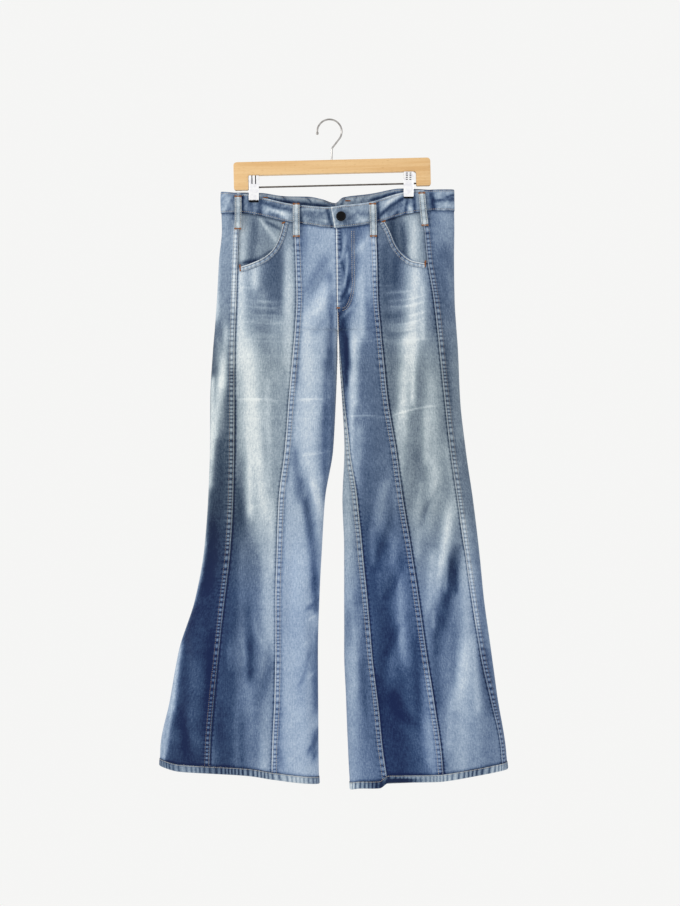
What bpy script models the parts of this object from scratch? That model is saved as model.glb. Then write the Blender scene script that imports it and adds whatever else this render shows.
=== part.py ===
"""Flared jeans with princess seams, hanging by the waistband from a wooden clip hanger.

The origin is at the inside top of the hanger's hook. +Z is up and the garment's front faces -Y.
The tables are in millimetres: x is measured from the hook, and a drop is a distance below it.
"""

import math
from collections import namedtuple

import bmesh
import bpy
import numpy as np

MM = 0.001

# ---------------------------------------------------------------- driving sizes, in mm
WALL = 1.4  # one layer of denim
SEAM_GAP = 0.4  # between two pieces that are sewn together
SEAM_BAND = 11.0  # width of a felled seam
SEAM_RISE = 1.1  # its second layer, proud of the panel
FOLD_RADIUS = 5.0  # the cloth never folds tighter than this
BACK_FULLNESS = 1.12  # the back hangs deeper than the front
CENTRE_X = 5.5  # the centre line, above the crotch
CROTCH_DROP = 378.0
BODY_TOP = 183.0  # nominal drop of the panels' top edge
BODY_BOTTOM = 1168.0  # nominal drop of the panels' bottom edge
HEM_HEIGHT = 13.0
BAND_OUT, BAND_IN = 0.7, 1.7  # the waistband's faces, out from and in from the panel's face
FLY_LIFT, FLY_WIDTH, FLY_BOTTOM = 1.8, 30.0, 342.0
FLY_SHORTER = 12.0  # the facing ends this far above the fly's end
FACING_DEPTH, FACING_WALL, FACING_OVERLAP = 1.9, 1.2, 22.0
EDGE_WIDTH, EDGE_LIFT, EDGE_WALL = 10.0, 0.4, 1.0
LAP_END, UNDER_END = -3.6, 17.0  # the waistband's overlapping end, and the one beneath it
LAP_LEAN = 6.5  # the overlapping end slants this far
LOOP_WIDTH, LOOP_WALL, LOOP_LENGTH, LOOP_BULGE = 12.0, 2.0, 61.0, 2.4
LOOP_SEAT, LOOP_OVER_SEAM = 0.5, 0.9  # a loop's clearance, and more where it crosses a felled seam
BUTTON_X, BUTTON_DROP, BUTTON_RADIUS, BUTTON_HEIGHT = 14.4, 174.6, 8.7, 4.2
BUTTON_RIM, BUTTON_DISH = 1.6, 0.5

HANGER_TILT = math.radians(1.4)
HANGER_X, HANGER_DROP = -2.2, 71.1  # middle of the wood's top edge
HANGER_WIDTH, HANGER_HEIGHT, HANGER_THICK = 354.0, 50.4, 12.0
BAR_HEIGHT, HANGER_LEG, HANGER_CORNER, HANGER_EDGE = 24.5, 26.2, 6.0, 1.5
ROD_RADIUS, ROD_BELOW_TOP, ROD_SEAT = 1.5, 45.4, 8.0
WIRE_RADIUS, HOOK_RADIUS, HOOK_X, HOOK_DROP, HOOK_SEAT = 1.6, 22.0, -6.3, 19.4, 18.0
STEM_X, NECK_DROP = -2.5, 52.0  # where the stem enters the wood, and where its bend ends
HOOK_TIP, HOOK_END = 188.0, -38.0  # the bow's ends, in degrees round from +X
RUNNING_GAP = 0.3
CLIP_X = (-142.2, 135.9)
CLIP_WIDTH, CLIP_ABOVE, CLIP_BELOW, CLIP_SHEET = 18.0, 20.3, 25.8, 1.2
CLIP_OPEN, BARREL_RADIUS = 7.5, 4.6  # half the gap between the jaws' grips, and the spring's barrel
PAD_THICK, PAD_HEIGHT, PAD_SHOWS = 1.5, 6.0, 1.4
PINCH_DEPTH = 2.4  # half depth of the panel's face between the jaws
PINCH_SPREAD = 32.0

# ---------------------------------------------------------------- the cut, in mm
# Above the crotch, inner is the centre line. Inseam is its distance from the inner fold, positive
# in front. Depth is half the garment's depth.
LegRow = namedtuple("LegRow", "drop outer side princess inner inseam depth")
LEFT_ROWS = (
    LegRow(110, -201, -171, -65, 5.4, 0, 12),
    LegRow(142, -202, -172, -65, 5.4, 0, 14),
    LegRow(196, -200, -174, -64, 5.6, 0, 17),
    LegRow(250, -205, -176, -62, 6.5, 0, 20),
    LegRow(322, -209, -178, -60, 7.4, 0, 22),
    LegRow(378, -213, -180, -63, 8.4, 0, 22),
    LegRow(412, -216, -181, -66, 7.2, 0, 21),
    LegRow(502, -221, -181.5, -74, 4.5, -1, 19),
    LegRow(592, -221.5, -182, -81, 0.2, -2, 18),
    LegRow(682, -225, -184, -92, -14.4, -3, 17),
    LegRow(772, -232, -189, -95.5, -20, -6, 18),
    LegRow(862, -248.5, -199, -98, -24.5, -9, 20),
    LegRow(952, -277, -208.5, -98, -27, -12, 23),
    LegRow(1042, -293.5, -218, -99.5, -26.5, -14, 26),
    LegRow(1132, -311, -224.5, -104, -26, -16, 29),
    LegRow(1205, -312, -226, -105, -25, -17, 30),
)
RIGHT_ROWS = (
    LegRow(110, 218, 161, 71, 5.4, 0, 12),
    LegRow(142, 218, 163, 71, 5.4, 0, 14),
    LegRow(196, 218.5, 169, 72, 5.6, 0, 17),
    LegRow(250, 218, 174, 74, 6.5, 0, 20),
    LegRow(322, 219, 185.5, 76, 7.4, 0, 22),
    LegRow(378, 222.5, 192, 81, 9.4, 0, 22),
    LegRow(412, 225, 195.5, 84, 11.7, 0, 21),
    LegRow(502, 229, 205, 93, 16.2, 2, 19),
    LegRow(592, 239, 215, 108, 20.5, 6, 18),
    LegRow(682, 252, 228, 120.5, 17, 22, 17),
    LegRow(772, 263, 240.5, 135.5, 20, 28, 18),
    LegRow(862, 272, 253.5, 149, 20, 37, 20),
    LegRow(952, 284.5, 268, 161.5, 20, 45, 23),
    LegRow(1042, 297, 288, 175.5, 23.5, 52, 26),
    LegRow(1132, 311.5, 305, 188.5, 27, 58, 29),
    LegRow(1205, 316.5, 309, 194.5, 31, 65, 30),
)

EdgePoint = namedtuple("EdgePoint", "x drop")
BAND_TOP_FRONT = (
    EdgePoint(-202, 128), EdgePoint(-165, 131.5), EdgePoint(-128, 138.6), EdgePoint(-72, 152),
    EdgePoint(-4, 157.5), EdgePoint(15, 154.8), EdgePoint(64, 148.7), EdgePoint(123, 130),
    EdgePoint(151, 125.5), EdgePoint(218, 124.2),
)
BAND_TOP_BACK = (
    EdgePoint(-202, 128), EdgePoint(-130, 129.6), EdgePoint(-85, 134), EdgePoint(-47, 134.2),
    EdgePoint(-21, 138.6), EdgePoint(4, 145.8), EdgePoint(18, 135.7), EdgePoint(66, 129.6),
    EdgePoint(124, 121.5), EdgePoint(151, 122.5), EdgePoint(218, 124.2),
)
BAND_SEAM_FRONT = (
    EdgePoint(-202, 167), EdgePoint(-162, 166.3), EdgePoint(-130, 171), EdgePoint(-88, 182.3),
    EdgePoint(-47, 189), EdgePoint(5, 195.3), EdgePoint(27, 193.7), EdgePoint(82, 184),
    EdgePoint(133, 168), EdgePoint(175, 163.1), EdgePoint(218, 163),
)
BAND_SEAM_BACK = (
    EdgePoint(-202, 167), EdgePoint(-130, 168.5), EdgePoint(-60, 172.5), EdgePoint(5, 174.5),
    EdgePoint(66, 168.5), EdgePoint(124, 160.5), EdgePoint(175, 161), EdgePoint(218, 163),
)
HEM_LEFT_FRONT = (
    EdgePoint(-312, 1160), EdgePoint(-275, 1168), EdgePoint(-220, 1170), EdgePoint(-155, 1173.5),
    EdgePoint(-101, 1182), EdgePoint(-67, 1187.5), EdgePoint(-26, 1192.5),
)
HEM_LEFT_BACK = (EdgePoint(-312, 1160), EdgePoint(-170, 1171), EdgePoint(-26, 1192.5))
HEM_RIGHT_FRONT = (
    EdgePoint(31, 1202.5), EdgePoint(47, 1199), EdgePoint(82, 1197), EdgePoint(99, 1186.5),
    EdgePoint(189, 1184.5), EdgePoint(207, 1182.5), EdgePoint(265, 1173.5), EdgePoint(317, 1165.5),
)
HEM_RIGHT_BACK = (
    EdgePoint(31, 1202.5), EdgePoint(82, 1199), EdgePoint(140, 1197.5), EdgePoint(185, 1194),
    EdgePoint(215, 1183.5), EdgePoint(265, 1173.5), EdgePoint(317, 1165.5),
)
POCKET_LEFT = (
    EdgePoint(-167, 264.5), EdgePoint(-143, 256.3), EdgePoint(-120.6, 244.8),
    EdgePoint(-104.4, 228.6), EdgePoint(-94.7, 207), EdgePoint(-88.4, 183.5),
)
POCKET_RIGHT = (
    EdgePoint(165.6, 258), EdgePoint(141.5, 253), EdgePoint(123.8, 240.3),
    EdgePoint(110.9, 222.5), EdgePoint(101.3, 199.8), EdgePoint(91.5, 182),
)

# A fold is a soft ridge, or a trough where its height is negative. Lean is how far x moves from
# its top to its bottom.
Fold = namedtuple("Fold", "x top bottom lean width height")
FOLDS_FRONT = (
    Fold(-113, 225, 430, 6, 15, -4.0),
    Fold(-158, 860, 1050, -6, 12, -6.0),
    Fold(-185, 840, 1010, -18, 12, 3.5),
    Fold(-50, 760, 1190, 8, 14, 4.5),
    Fold(-76, 740, 960, -5, 10, -4.0),
    Fold(-128, 1010, 1190, 34, 13, 3.5),
    Fold(-266, 880, 1030, 34, 11, -5.0),
    Fold(103, 225, 470, -4, 15, -4.0),
    Fold(24, 250, 400, -6, 12, -4.0),
    Fold(98, 740, 1195, -22, 20, -8.0),
    Fold(222, 750, 890, -8, 11, -5.0),
    Fold(250, 830, 1170, 30, 20, 5.5),
    Fold(70, 420, 700, 12, 14, 3.0),
)
FOLDS_BACK = (
    Fold(-120, 430, 560, 40, 16, -5.0),
    Fold(-60, 440, 640, -30, 14, 4.0),
    Fold(-190, 700, 1180, -40, 22, -7.0),
    Fold(-110, 780, 1190, 6, 20, 5.5),
    Fold(-60, 900, 1190, 10, 12, -5.0),
    Fold(120, 430, 570, -36, 16, -5.0),
    Fold(72, 450, 650, 26, 14, 4.0),
    Fold(230, 720, 1180, 44, 22, -7.0),
    Fold(150, 800, 1190, 16, 20, 5.5),
    Fold(80, 900, 1190, -6, 12, -5.0),
)

ROW_DROPS = (
    183, 198, 214, 234, 256, 280, 303, 324, 342, 356, 378, 394, 416, 450, 500, 555, 610, 665, 720,
    775, 830, 880, 930, 980, 1035, 1090, 1135, 1168,
)

Leg = namedtuple("Leg", "name sign rows pocket hem_front hem_back")
LEFT = Leg("left", -1, LEFT_ROWS, POCKET_LEFT, HEM_LEFT_FRONT, HEM_LEFT_BACK)
RIGHT = Leg("right", 1, RIGHT_ROWS, POCKET_RIGHT, HEM_RIGHT_FRONT, HEM_RIGHT_BACK)
LEGS = (LEFT, RIGHT)


# ---------------------------------------------------------------- curves through tables
def smooth_curve(xs, ys, x):
    """Value at x of a curve through the points that never overshoots them."""
    xs, ys = np.asarray(xs, float), np.asarray(ys, float)
    x = np.clip(x, xs[0], xs[-1])
    slopes = np.diff(ys) / np.diff(xs)
    tangents = np.zeros(len(xs))
    same_way = slopes[:-1] * slopes[1:] > 0
    inner = np.zeros(len(slopes) - 1)
    inner[same_way] = 2 / (1 / slopes[:-1][same_way] + 1 / slopes[1:][same_way])
    tangents[1:-1] = inner
    tangents[0], tangents[-1] = slopes[0], slopes[-1]
    i = np.clip(np.searchsorted(xs, x, side="right") - 1, 0, len(xs) - 2)
    step = xs[i + 1] - xs[i]
    t = (x - xs[i]) / step
    return (
        ys[i] * (1 + 2 * t) * (1 - t) ** 2
        + tangents[i] * step * t * (1 - t) ** 2
        + ys[i + 1] * t * t * (3 - 2 * t)
        + tangents[i + 1] * step * t * t * (t - 1)
    )


def edge_drop(edge, x):
    """Drop of an edge line at x."""
    points = sorted(edge)
    return smooth_curve([p.x for p in points], [p.drop for p in points], x)


def leg_row(leg, drop):
    """The leg's table read at any drop."""
    drops = [row.drop for row in leg.rows]
    columns = zip(*leg.rows)
    return LegRow(*(float(smooth_curve(drops, column, drop)) for column in columns))


def ramp(value, start, end):
    """0 before start, 1 after end, and smooth between them."""
    t = np.clip((value - start) / (end - start), 0, 1)
    return t * t * (3 - 2 * t)


# ---------------------------------------------------------------- the cloth's outer face
def fold_height(folds, x, drop):
    total = np.zeros_like(x)
    for fold in folds:
        length = fold.bottom - fold.top
        along = (drop - fold.top) / length
        if not 0 < along < 1:
            continue
        centre = fold.x + fold.lean * (along - 0.5)
        swell = math.sin(math.pi * along) ** 0.8
        total += fold.height * swell * np.exp(-(((x - centre) / fold.width) ** 2))
    return total


def pinched(x, y, drop):
    """Draws the two layers together between each clip's jaws."""
    grip = 1 - ramp(drop, 150, 330)
    for clip_x in CLIP_X:
        beyond = np.maximum(np.abs(x - clip_x) - CLIP_WIDTH / 2, 0)
        near = grip * np.exp(-((beyond / PINCH_SPREAD) ** 2))
        over = np.maximum(np.abs(y) - PINCH_DEPTH, 0)
        y = np.sign(y) * (np.abs(y) - over * near)
    return y


class Section:
    """The leg's outline at one drop, from the inner edge over the front to the outer fold and back."""

    STEPS = 1440
    TURN = 9.0  # a turn of one radian takes as many columns as this length

    def __init__(self, leg, drop):
        row = leg_row(leg, drop)
        self.sign = leg.sign
        self.open = drop < CROTCH_DROP
        merge = math.sqrt(max(0.0, 1 - (drop - 110) / (CROTCH_DROP - 110))) if self.open else 0.0
        reach = abs(row.outer - row.inner)
        inner = row.inner - leg.sign * merge * reach
        middle, half = (row.outer + inner) / 2, abs(row.outer - inner) / 2
        angle = np.linspace(0, 2 * math.pi, self.STEPS + 1)
        in_front = np.sin(angle) >= 0
        deep = np.where(in_front, row.depth, row.depth * BACK_FULLNESS) - FOLD_RADIUS
        wide = half - FOLD_RADIUS
        normal_x, normal_y = -np.cos(angle) / wide, -np.sin(angle) / deep
        size = np.hypot(normal_x, normal_y)
        normal_x, normal_y = normal_x / size, normal_y / size
        x = middle + leg.sign * (-np.cos(angle) * wide + FOLD_RADIUS * normal_x)
        y = -np.sin(angle) * deep + FOLD_RADIUS * normal_y
        height = np.where(
            in_front, fold_height(FOLDS_FRONT, x, drop), fold_height(FOLDS_BACK, x, drop)
        )
        height = height * np.abs(normal_y)
        x = x + leg.sign * normal_x * height
        y = pinched(x, y + normal_y * height, drop)
        if self.open:
            x, y = self.trimmed(x, y, row.inner + leg.sign * SEAM_GAP / 2)
        self.x, self.y = x, y
        self.measure()
        self.row = row

    def trimmed(self, x, y, plane):
        """Only the part beyond the garment's centre plane, ending exactly on it."""
        beyond = self.sign * (x - plane)
        kept = np.nonzero(beyond > 0)[0]
        first, last = kept[0], kept[-1]
        ends = []
        for i, j in ((first - 1, first), (last + 1, last)):
            t = beyond[i] / (beyond[i] - beyond[j])
            ends.append((plane, y[i] + (y[j] - y[i]) * t))
        x = np.concatenate([[ends[0][0]], x[first : last + 1], [ends[1][0]]])
        y = np.concatenate([[ends[0][1]], y[first : last + 1], [ends[1][1]]])
        return x, y

    def measure(self):
        dx, dy = np.gradient(self.x), np.gradient(self.y)
        if not self.open:
            dx[0] = dx[-1] = self.x[1] - self.x[-2]
            dy[0] = dy[-1] = self.y[1] - self.y[-2]
        size = np.hypot(dx, dy)
        self.nx, self.ny = self.sign * dy / size, -self.sign * dx / size
        heading = np.unwrap(np.arctan2(dy, dx))
        step = np.hypot(np.diff(self.x), np.diff(self.y)) + self.TURN * np.abs(np.diff(heading))
        self.m = np.concatenate([[0], np.cumsum(step)])
        if self.open:  # a wall's edge stays in the centre plane
            for end in (0, -1):
                self.nx[end], self.ny[end] = 0.0, np.sign(self.ny[end])
        self.total = self.m[-1]
        self.peak = int(np.argmax(self.sign * self.x))

    def at(self, m):
        """(x, y, normal x, normal y) at a measure along the outline."""
        if not self.open:
            m = m % self.total
        return tuple(np.interp(m, self.m, values) for values in (self.x, self.y, self.nx, self.ny))

    def front(self, x):
        """Measure of the front point at x."""
        part = slice(0, self.peak + 1)
        return float(np.interp(self.sign * x, self.sign * self.x[part], self.m[part]))

    def back(self, x):
        """Measure of the back point at x."""
        part = slice(self.peak, None)
        return float(np.interp(-self.sign * x, -self.sign * self.x[part], self.m[part]))

    def inseam(self):
        """Measure of the seam between front and back at the inner side."""
        if self.open:
            return 0.0
        sign, row = self.sign, self.row
        if row.inseam >= 0:
            m = self.front(row.inner + sign * row.inseam)
        else:
            m = self.back(row.inner - sign * row.inseam) - self.total
        return m


_sections = {}


def section(leg, drop):
    key = (leg.name, round(float(drop), 2))
    if key not in _sections:
        _sections[key] = Section(leg, key[1])
    return _sections[key]


def place(leg, drop, m, out):
    """A point out from the cloth's face, in metres."""
    x, y, nx, ny = section(leg, drop).at(m)
    return (x + nx * out) * MM, (y + ny * out) * MM, -drop * MM


def leg_at(x):
    return LEFT if x < CENTRE_X else RIGHT


def draped(x, drop, out, front=True):
    """A point on the front or back, given where it is seen."""
    leg = leg_at(x)
    cut = section(leg, drop)
    return place(leg, drop, cut.front(x) if front else cut.back(x), out)


# ---------------------------------------------------------------- meshes and materials
def material(name, colour, roughness, metallic=0.0):
    made = bpy.data.materials.new(name)
    made.use_nodes = True
    shader = made.node_tree.nodes["Principled BSDF"]
    shader.inputs["Base Color"].default_value = (*colour, 1)
    shader.inputs["Roughness"].default_value = roughness
    shader.inputs["Metallic"].default_value = metallic
    return made


def add_mesh(name, build, finish, smooth=40):
    """A new object from a function that fills a bmesh."""
    mesh = bpy.data.meshes.new(name)
    bm = bmesh.new()
    build(bm)
    bmesh.ops.recalc_face_normals(bm, faces=bm.faces)
    bm.to_mesh(mesh)
    bm.free()
    mesh.shade_smooth()
    mesh.set_sharp_from_angle(angle=math.radians(smooth))
    mesh.materials.append(material(name, *finish))
    made = bpy.data.objects.new(name, mesh)
    bpy.context.scene.collection.objects.link(made)
    return made


def add_slab(name, outer, inner, finish, ring=False):
    """A wall between two grids of points, rows by columns. A ring's columns close on themselves."""

    def build(bm):
        rows, columns = len(outer), len(outer[0])
        out = [[bm.verts.new(p) for p in row] for row in outer]
        ins = [[bm.verts.new(p) for p in row] for row in inner]
        across = columns if ring else columns - 1
        for i in range(rows - 1):
            for j in range(across):
                k = (j + 1) % columns
                bm.faces.new((out[i][j], out[i][k], out[i + 1][k], out[i + 1][j]))
                bm.faces.new((ins[i][j], ins[i + 1][j], ins[i + 1][k], ins[i][k]))
        for j in range(across):
            k = (j + 1) % columns
            for i in (0, rows - 1):
                bm.faces.new((out[i][j], ins[i][j], ins[i][k], out[i][k]))
        if not ring:
            for i in range(rows - 1):
                for j in (0, columns - 1):
                    bm.faces.new((out[i][j], out[i + 1][j], ins[i + 1][j], ins[i][j]))

    return add_mesh(name, build, finish)


DENIM = ((0.22, 0.34, 0.50), 0.9)
DENIM_PALE = ((0.38, 0.50, 0.62), 0.9)
DENIM_DEEP = ((0.12, 0.22, 0.38), 0.9)
BEECH = ((0.79, 0.52, 0.24), 0.45)
STEEL = ((0.75, 0.76, 0.78), 0.2, 1.0)
DARK_STEEL = ((0.25, 0.24, 0.23), 0.35, 1.0)
BLACK = ((0.015, 0.015, 0.018), 0.4)


# ---------------------------------------------------------------- panels
def fly_lift(x, drop):
    """How far the lapped front stands over the fly facing."""
    curve_top = FLY_BOTTOM - 42
    below = max(0.0, (drop - curve_top) / (FLY_BOTTOM - curve_top))
    half = FLY_WIDTH * math.sqrt(max(0.0, 1 - below**2))
    across = 1 - ramp(x - CENTRE_X, half, half + 6)
    return FLY_LIFT * across * (1 - ramp(drop, FLY_BOTTOM, FLY_BOTTOM + 8))


def bound_at(leg, which, drop):
    """Measure of a panel's side edge."""
    cut = section(leg, drop)
    half_band, half_gap = SEAM_BAND / 2, SEAM_GAP / 2
    if which == "princess":
        return cut.front(cut.row.princess) + half_band
    if which == "side":
        return cut.front(cut.row.side) - half_band
    grown = min(1.0, max(0.0, drop - CROTCH_DROP) / 40)
    inner = cut.inseam() + grown * half_band
    at_centre = -half_gap if cut.open else 0.0  # the centre seam already has its gap
    if which == "inner_front":
        return inner + at_centre
    return cut.total + inner - at_centre


def top_drop(leg, which, x):
    """Drop of the panels' top edge at x."""
    if which == "back":
        return edge_drop(BAND_SEAM_BACK, x) + SEAM_GAP
    seam = edge_drop(BAND_SEAM_FRONT, x) + SEAM_GAP
    if which == "pocket":
        mouth = sorted(leg.pocket)
        if leg.sign * x > leg.sign * leg.pocket[-1].x:
            return max(seam, edge_drop(mouth, x))
    return seam


def hem_drop(leg, front, x):
    return edge_drop(leg.hem_front if front else leg.hem_back, x)


def row_drop(nominal, top, bottom):
    """Bends the level rows to the panel's curved top and bottom edges."""
    high = max(0.0, 1 - (nominal - BODY_TOP) / 190)
    low = max(0.0, 1 - (BODY_BOTTOM - nominal) / 260)
    return nominal + (top - BODY_TOP) * high + (bottom - BODY_BOTTOM) * low


Panel = namedtuple("Panel", "name leg first last top fractions bands lift finish")


def inner_band(leg, drop):
    """How far a back panel's inner edge is raised: the seat seam's band lies on the left half."""
    seat = (1 - ramp(drop, CROTCH_DROP - 30, CROTCH_DROP - 8)) if leg is LEFT else 0.0
    return seat + ramp(drop, CROTCH_DROP + 15, CROTCH_DROP + 50)


def panel_columns(panel, drop):
    """(measure, raised) across a panel, with close columns where a felled seam steps down."""
    start = bound_at(panel.leg, panel.first, drop) + SEAM_GAP / 2
    end = bound_at(panel.leg, panel.last, drop) - SEAM_GAP / 2
    step_down = SEAM_BAND + 1.2
    low = start + (step_down if panel.bands[0] else 0)
    high = end - (step_down if panel.bands[1] else 0)
    columns = [(low + (high - low) * share, 0.0) for share in panel.fractions]
    across = (0, SEAM_BAND / 2, SEAM_BAND)
    if panel.bands[0]:
        columns = [(start + d, 1.0) for d in across] + columns
    if panel.bands[1]:
        raised = inner_band(panel.leg, drop) if panel.last == "inner_back" else 1.0
        columns = columns + [(end - d, raised) for d in reversed(across)]
    return columns


def panel_edges(panel):
    """(top drop, bottom drop) of each of a panel's columns."""
    edges = []
    tops, lows = panel_columns(panel, BODY_TOP), panel_columns(panel, BODY_BOTTOM)
    for (m_top, _), (m_low, _) in zip(tops, lows):
        x_top, y_top = section(panel.leg, BODY_TOP).at(m_top)[:2]
        x_low, y_low = section(panel.leg, BODY_BOTTOM).at(m_low)[:2]
        top = top_drop(panel.leg, "back" if y_top > 0 else panel.top, x_top)
        edges.append((top, hem_drop(panel.leg, y_low < 0, x_low) - HEM_HEIGHT - SEAM_GAP))
    return edges


def add_panel(panel):
    """A panel between two side edges, from the waistband to the hem."""
    leg, edges = panel.leg, panel_edges(panel)
    outer, inner = [], []
    for nominal in ROW_DROPS:
        outer_row, inner_row = [], []
        for j, edge in enumerate(edges):
            drop = row_drop(nominal, *edge)
            m, raised = panel_columns(panel, drop)[j]
            lift = panel.lift(section(leg, drop).at(m)[0], drop) if panel.lift else 0.0
            outer_row.append(place(leg, drop, m, lift + SEAM_RISE * raised))
            inner_row.append(place(leg, drop, m, lift - WALL))
        outer.append(outer_row)
        inner.append(inner_row)
    return add_slab(panel.name, outer, inner, panel.finish)


def even(count):
    return [i / (count - 1) for i in range(count)]


def side_panel_fractions(leg):
    """Columns of the side panel: one at each point of the pocket's mouth, and some between."""
    cut = section(leg, BODY_TOP)
    start, end = bound_at(leg, "princess", BODY_TOP), bound_at(leg, "side", BODY_TOP)
    mouth = [(cut.front(p.x) - start) / (end - start) for p in leg.pocket]
    inside = sorted(share for share in mouth if 0.02 < share < 0.98)
    between = [(a + b) / 2 for a, b in zip(inside[1:], inside[2:])]
    return sorted({0.0, inside[0] / 2, *inside, *between, (inside[-1] + 1) / 2, 1.0})


def panels_of(leg):
    """The leg's panels in order round it, from the front's inner edge."""
    lift = fly_lift if leg is RIGHT else None
    one_band, two_bands, none = (False, True), (True, True), (False, False)
    return (
        Panel(f"front_centre_{leg.name}", leg, "inner_front", "princess", "front", even(8), one_band,
              lift, DENIM_PALE),
        Panel(f"front_side_{leg.name}", leg, "princess", "side", "pocket",
              side_panel_fractions(leg), none, None, DENIM),
        Panel(f"back_{leg.name}", leg, "side", "inner_back", "front", even(14), two_bands, None,
              DENIM_DEEP),
    )


def add_hem(leg):
    """The turned hem, a ring whose columns stand under the panels' own."""
    outer, inner = [], []
    for share in (0.0, 0.5, 1.0):
        outer_row, inner_row = [], []
        for panel in panels_of(leg):
            for j, (_, panel_bottom) in enumerate(panel_edges(panel)[:-1]):
                drop = panel_bottom + SEAM_GAP + HEM_HEIGHT * share
                m = panel_columns(panel, drop)[j][0]
                outer_row.append(place(leg, drop, m, SEAM_RISE))
                inner_row.append(place(leg, drop, m, -WALL - SEAM_RISE / 2))
        outer.append(outer_row)
        inner.append(inner_row)
    add_slab(f"hem_{leg.name}", outer, inner, DENIM_PALE, ring=True)


# ---------------------------------------------------------------- pockets and fly
def mouth_path(leg, count):
    """Points along the pocket's mouth, evenly spaced, with the direction into the panel."""
    xs, drops = [p.x for p in leg.pocket], [p.drop for p in leg.pocket]
    run = np.concatenate([[0], np.cumsum(np.hypot(np.diff(xs), np.diff(drops)))])
    along = np.linspace(0, run[-1], count)
    x, drop = smooth_curve(run, xs, along), smooth_curve(run, drops, along)
    along_x, along_drop = np.gradient(x), np.gradient(drop)
    size = np.hypot(along_x, along_drop)
    return x, drop, leg.sign * along_drop / size, -leg.sign * along_x / size


def add_pockets():
    for leg in LEGS:
        x, drop, into_x, into_drop = mouth_path(leg, 18)
        outer, inner = [], []
        for offset in (0.3, EDGE_WIDTH / 2, EDGE_WIDTH):
            xs = x + into_x * offset
            drops = np.maximum(drop + into_drop * offset, edge_drop(BAND_SEAM_FRONT, xs) + 1.2)
            outer.append([draped(*point, EDGE_LIFT + EDGE_WALL) for point in zip(xs, drops)])
            inner.append([draped(*point, EDGE_LIFT) for point in zip(xs, drops)])
        add_slab(f"pocket_edge_{leg.name}", outer, inner, DENIM_PALE)

        side_x = section(leg, BODY_TOP).row.side - leg.sign * (SEAM_BAND / 2 + SEAM_GAP)
        columns = np.linspace(side_x, leg.pocket[-1].x - leg.sign * 5, 11)
        outer, inner = [], []
        for t in even(7):
            outer_row, inner_row = [], []
            for column_x in columns:
                top = edge_drop(BAND_SEAM_FRONT, column_x) + SEAM_GAP
                bottom = max(edge_drop(leg.pocket, column_x), top) + FACING_OVERLAP
                d = top + (bottom - top) * t
                limit = section(leg, d).row.side - leg.sign * (SEAM_BAND / 2 + SEAM_GAP)
                shift = limit - side_x
                share = 1 - (column_x - columns[0]) / (columns[-1] - columns[0])
                outer_row.append(draped(column_x + shift * share, d, -FACING_DEPTH))
                inner_row.append(draped(column_x + shift * share, d, -FACING_DEPTH - FACING_WALL))
            outer.append(outer_row)
            inner.append(inner_row)
        add_slab(f"pocket_facing_{leg.name}", outer, inner, DENIM)


def add_fly_facing():
    """The second layer under the lapped front, whose edge the J stitch follows."""
    outer, inner = [], []
    top, bottom = edge_drop(BAND_SEAM_FRONT, BUTTON_X) + 2, FLY_BOTTOM - FLY_SHORTER
    for t in even(9):
        drop = top + (bottom - top) * t
        width = (FLY_WIDTH - 6) * math.sqrt(1 - 0.75 * float(ramp(drop, bottom - 40, bottom + 10)))
        xs = [section(RIGHT, drop).row.inner + 0.6 + width * share for share in even(5)]
        outs = [fly_lift(x, drop) - WALL - 1.5 * SEAM_GAP for x in xs]
        outer.append([draped_right(x, drop, out) for x, out in zip(xs, outs)])
        inner.append([draped_right(x, drop, out - FACING_WALL) for x, out in zip(xs, outs)])
    add_slab("fly_facing", outer, inner, DENIM)


def draped_right(x, drop, out):
    return place(RIGHT, drop, section(RIGHT, drop).front(x), out)


# ---------------------------------------------------------------- waistband and loops
def band_lift(x):
    """The right end of the waistband laps over the left one."""
    return (BAND_OUT + BAND_IN + SEAM_GAP) * (1 - ramp(x, 20, 30))


def add_waistband():
    middle_drop = 150.0
    for leg in LEGS:
        side_top = leg_row(leg, middle_drop).side
        end = UNDER_END if leg is LEFT else LAP_END
        columns = np.linspace(side_top - leg.sign * SEAM_GAP / 2, end, 23)
        outer, inner = [], []
        for t in even(4):
            outer_row, inner_row = [], []
            for column_x in columns:
                x, lift = column_x, 0.0
                if leg is RIGHT:
                    x += LAP_LEAN * t * ramp(-column_x, -BUTTON_X, -LAP_END)
                    lift = band_lift(x)
                drop = edge_drop(BAND_TOP_FRONT, x) * (1 - t) + edge_drop(BAND_SEAM_FRONT, x) * t
                outer_row.append(draped(x, drop, BAND_OUT + lift))
                inner_row.append(draped(x, drop, lift - BAND_IN))
            outer.append(outer_row)
            inner.append(inner_row)
        add_slab(f"waistband_front_{leg.name}", outer, inner, DENIM)

        level = section(leg, middle_drop)
        side_m = level.front(side_top) + SEAM_GAP / 2
        outer, inner = [], []
        for t in even(4):
            outer_row, inner_row = [], []
            for share in even(31):
                x, y = level.at(side_m + (level.total - side_m) * share)[:2]
                edge = BAND_TOP_BACK if y > 0 else BAND_TOP_FRONT
                top = edge_drop(edge, x)
                low = edge_drop(BAND_SEAM_BACK if y > 0 else BAND_SEAM_FRONT, x)
                drop = top + (low - top) * t
                cut = section(leg, drop)
                start = cut.front(side_top) + SEAM_GAP / 2
                m = start + (cut.total - start) * share
                outer_row.append(place(leg, drop, m, BAND_OUT))
                inner_row.append(place(leg, drop, m, -BAND_IN))
            outer.append(outer_row)
            inner.append(inner_row)
        add_slab(f"waistband_back_{leg.name}", outer, inner, DENIM_DEEP)


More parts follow.
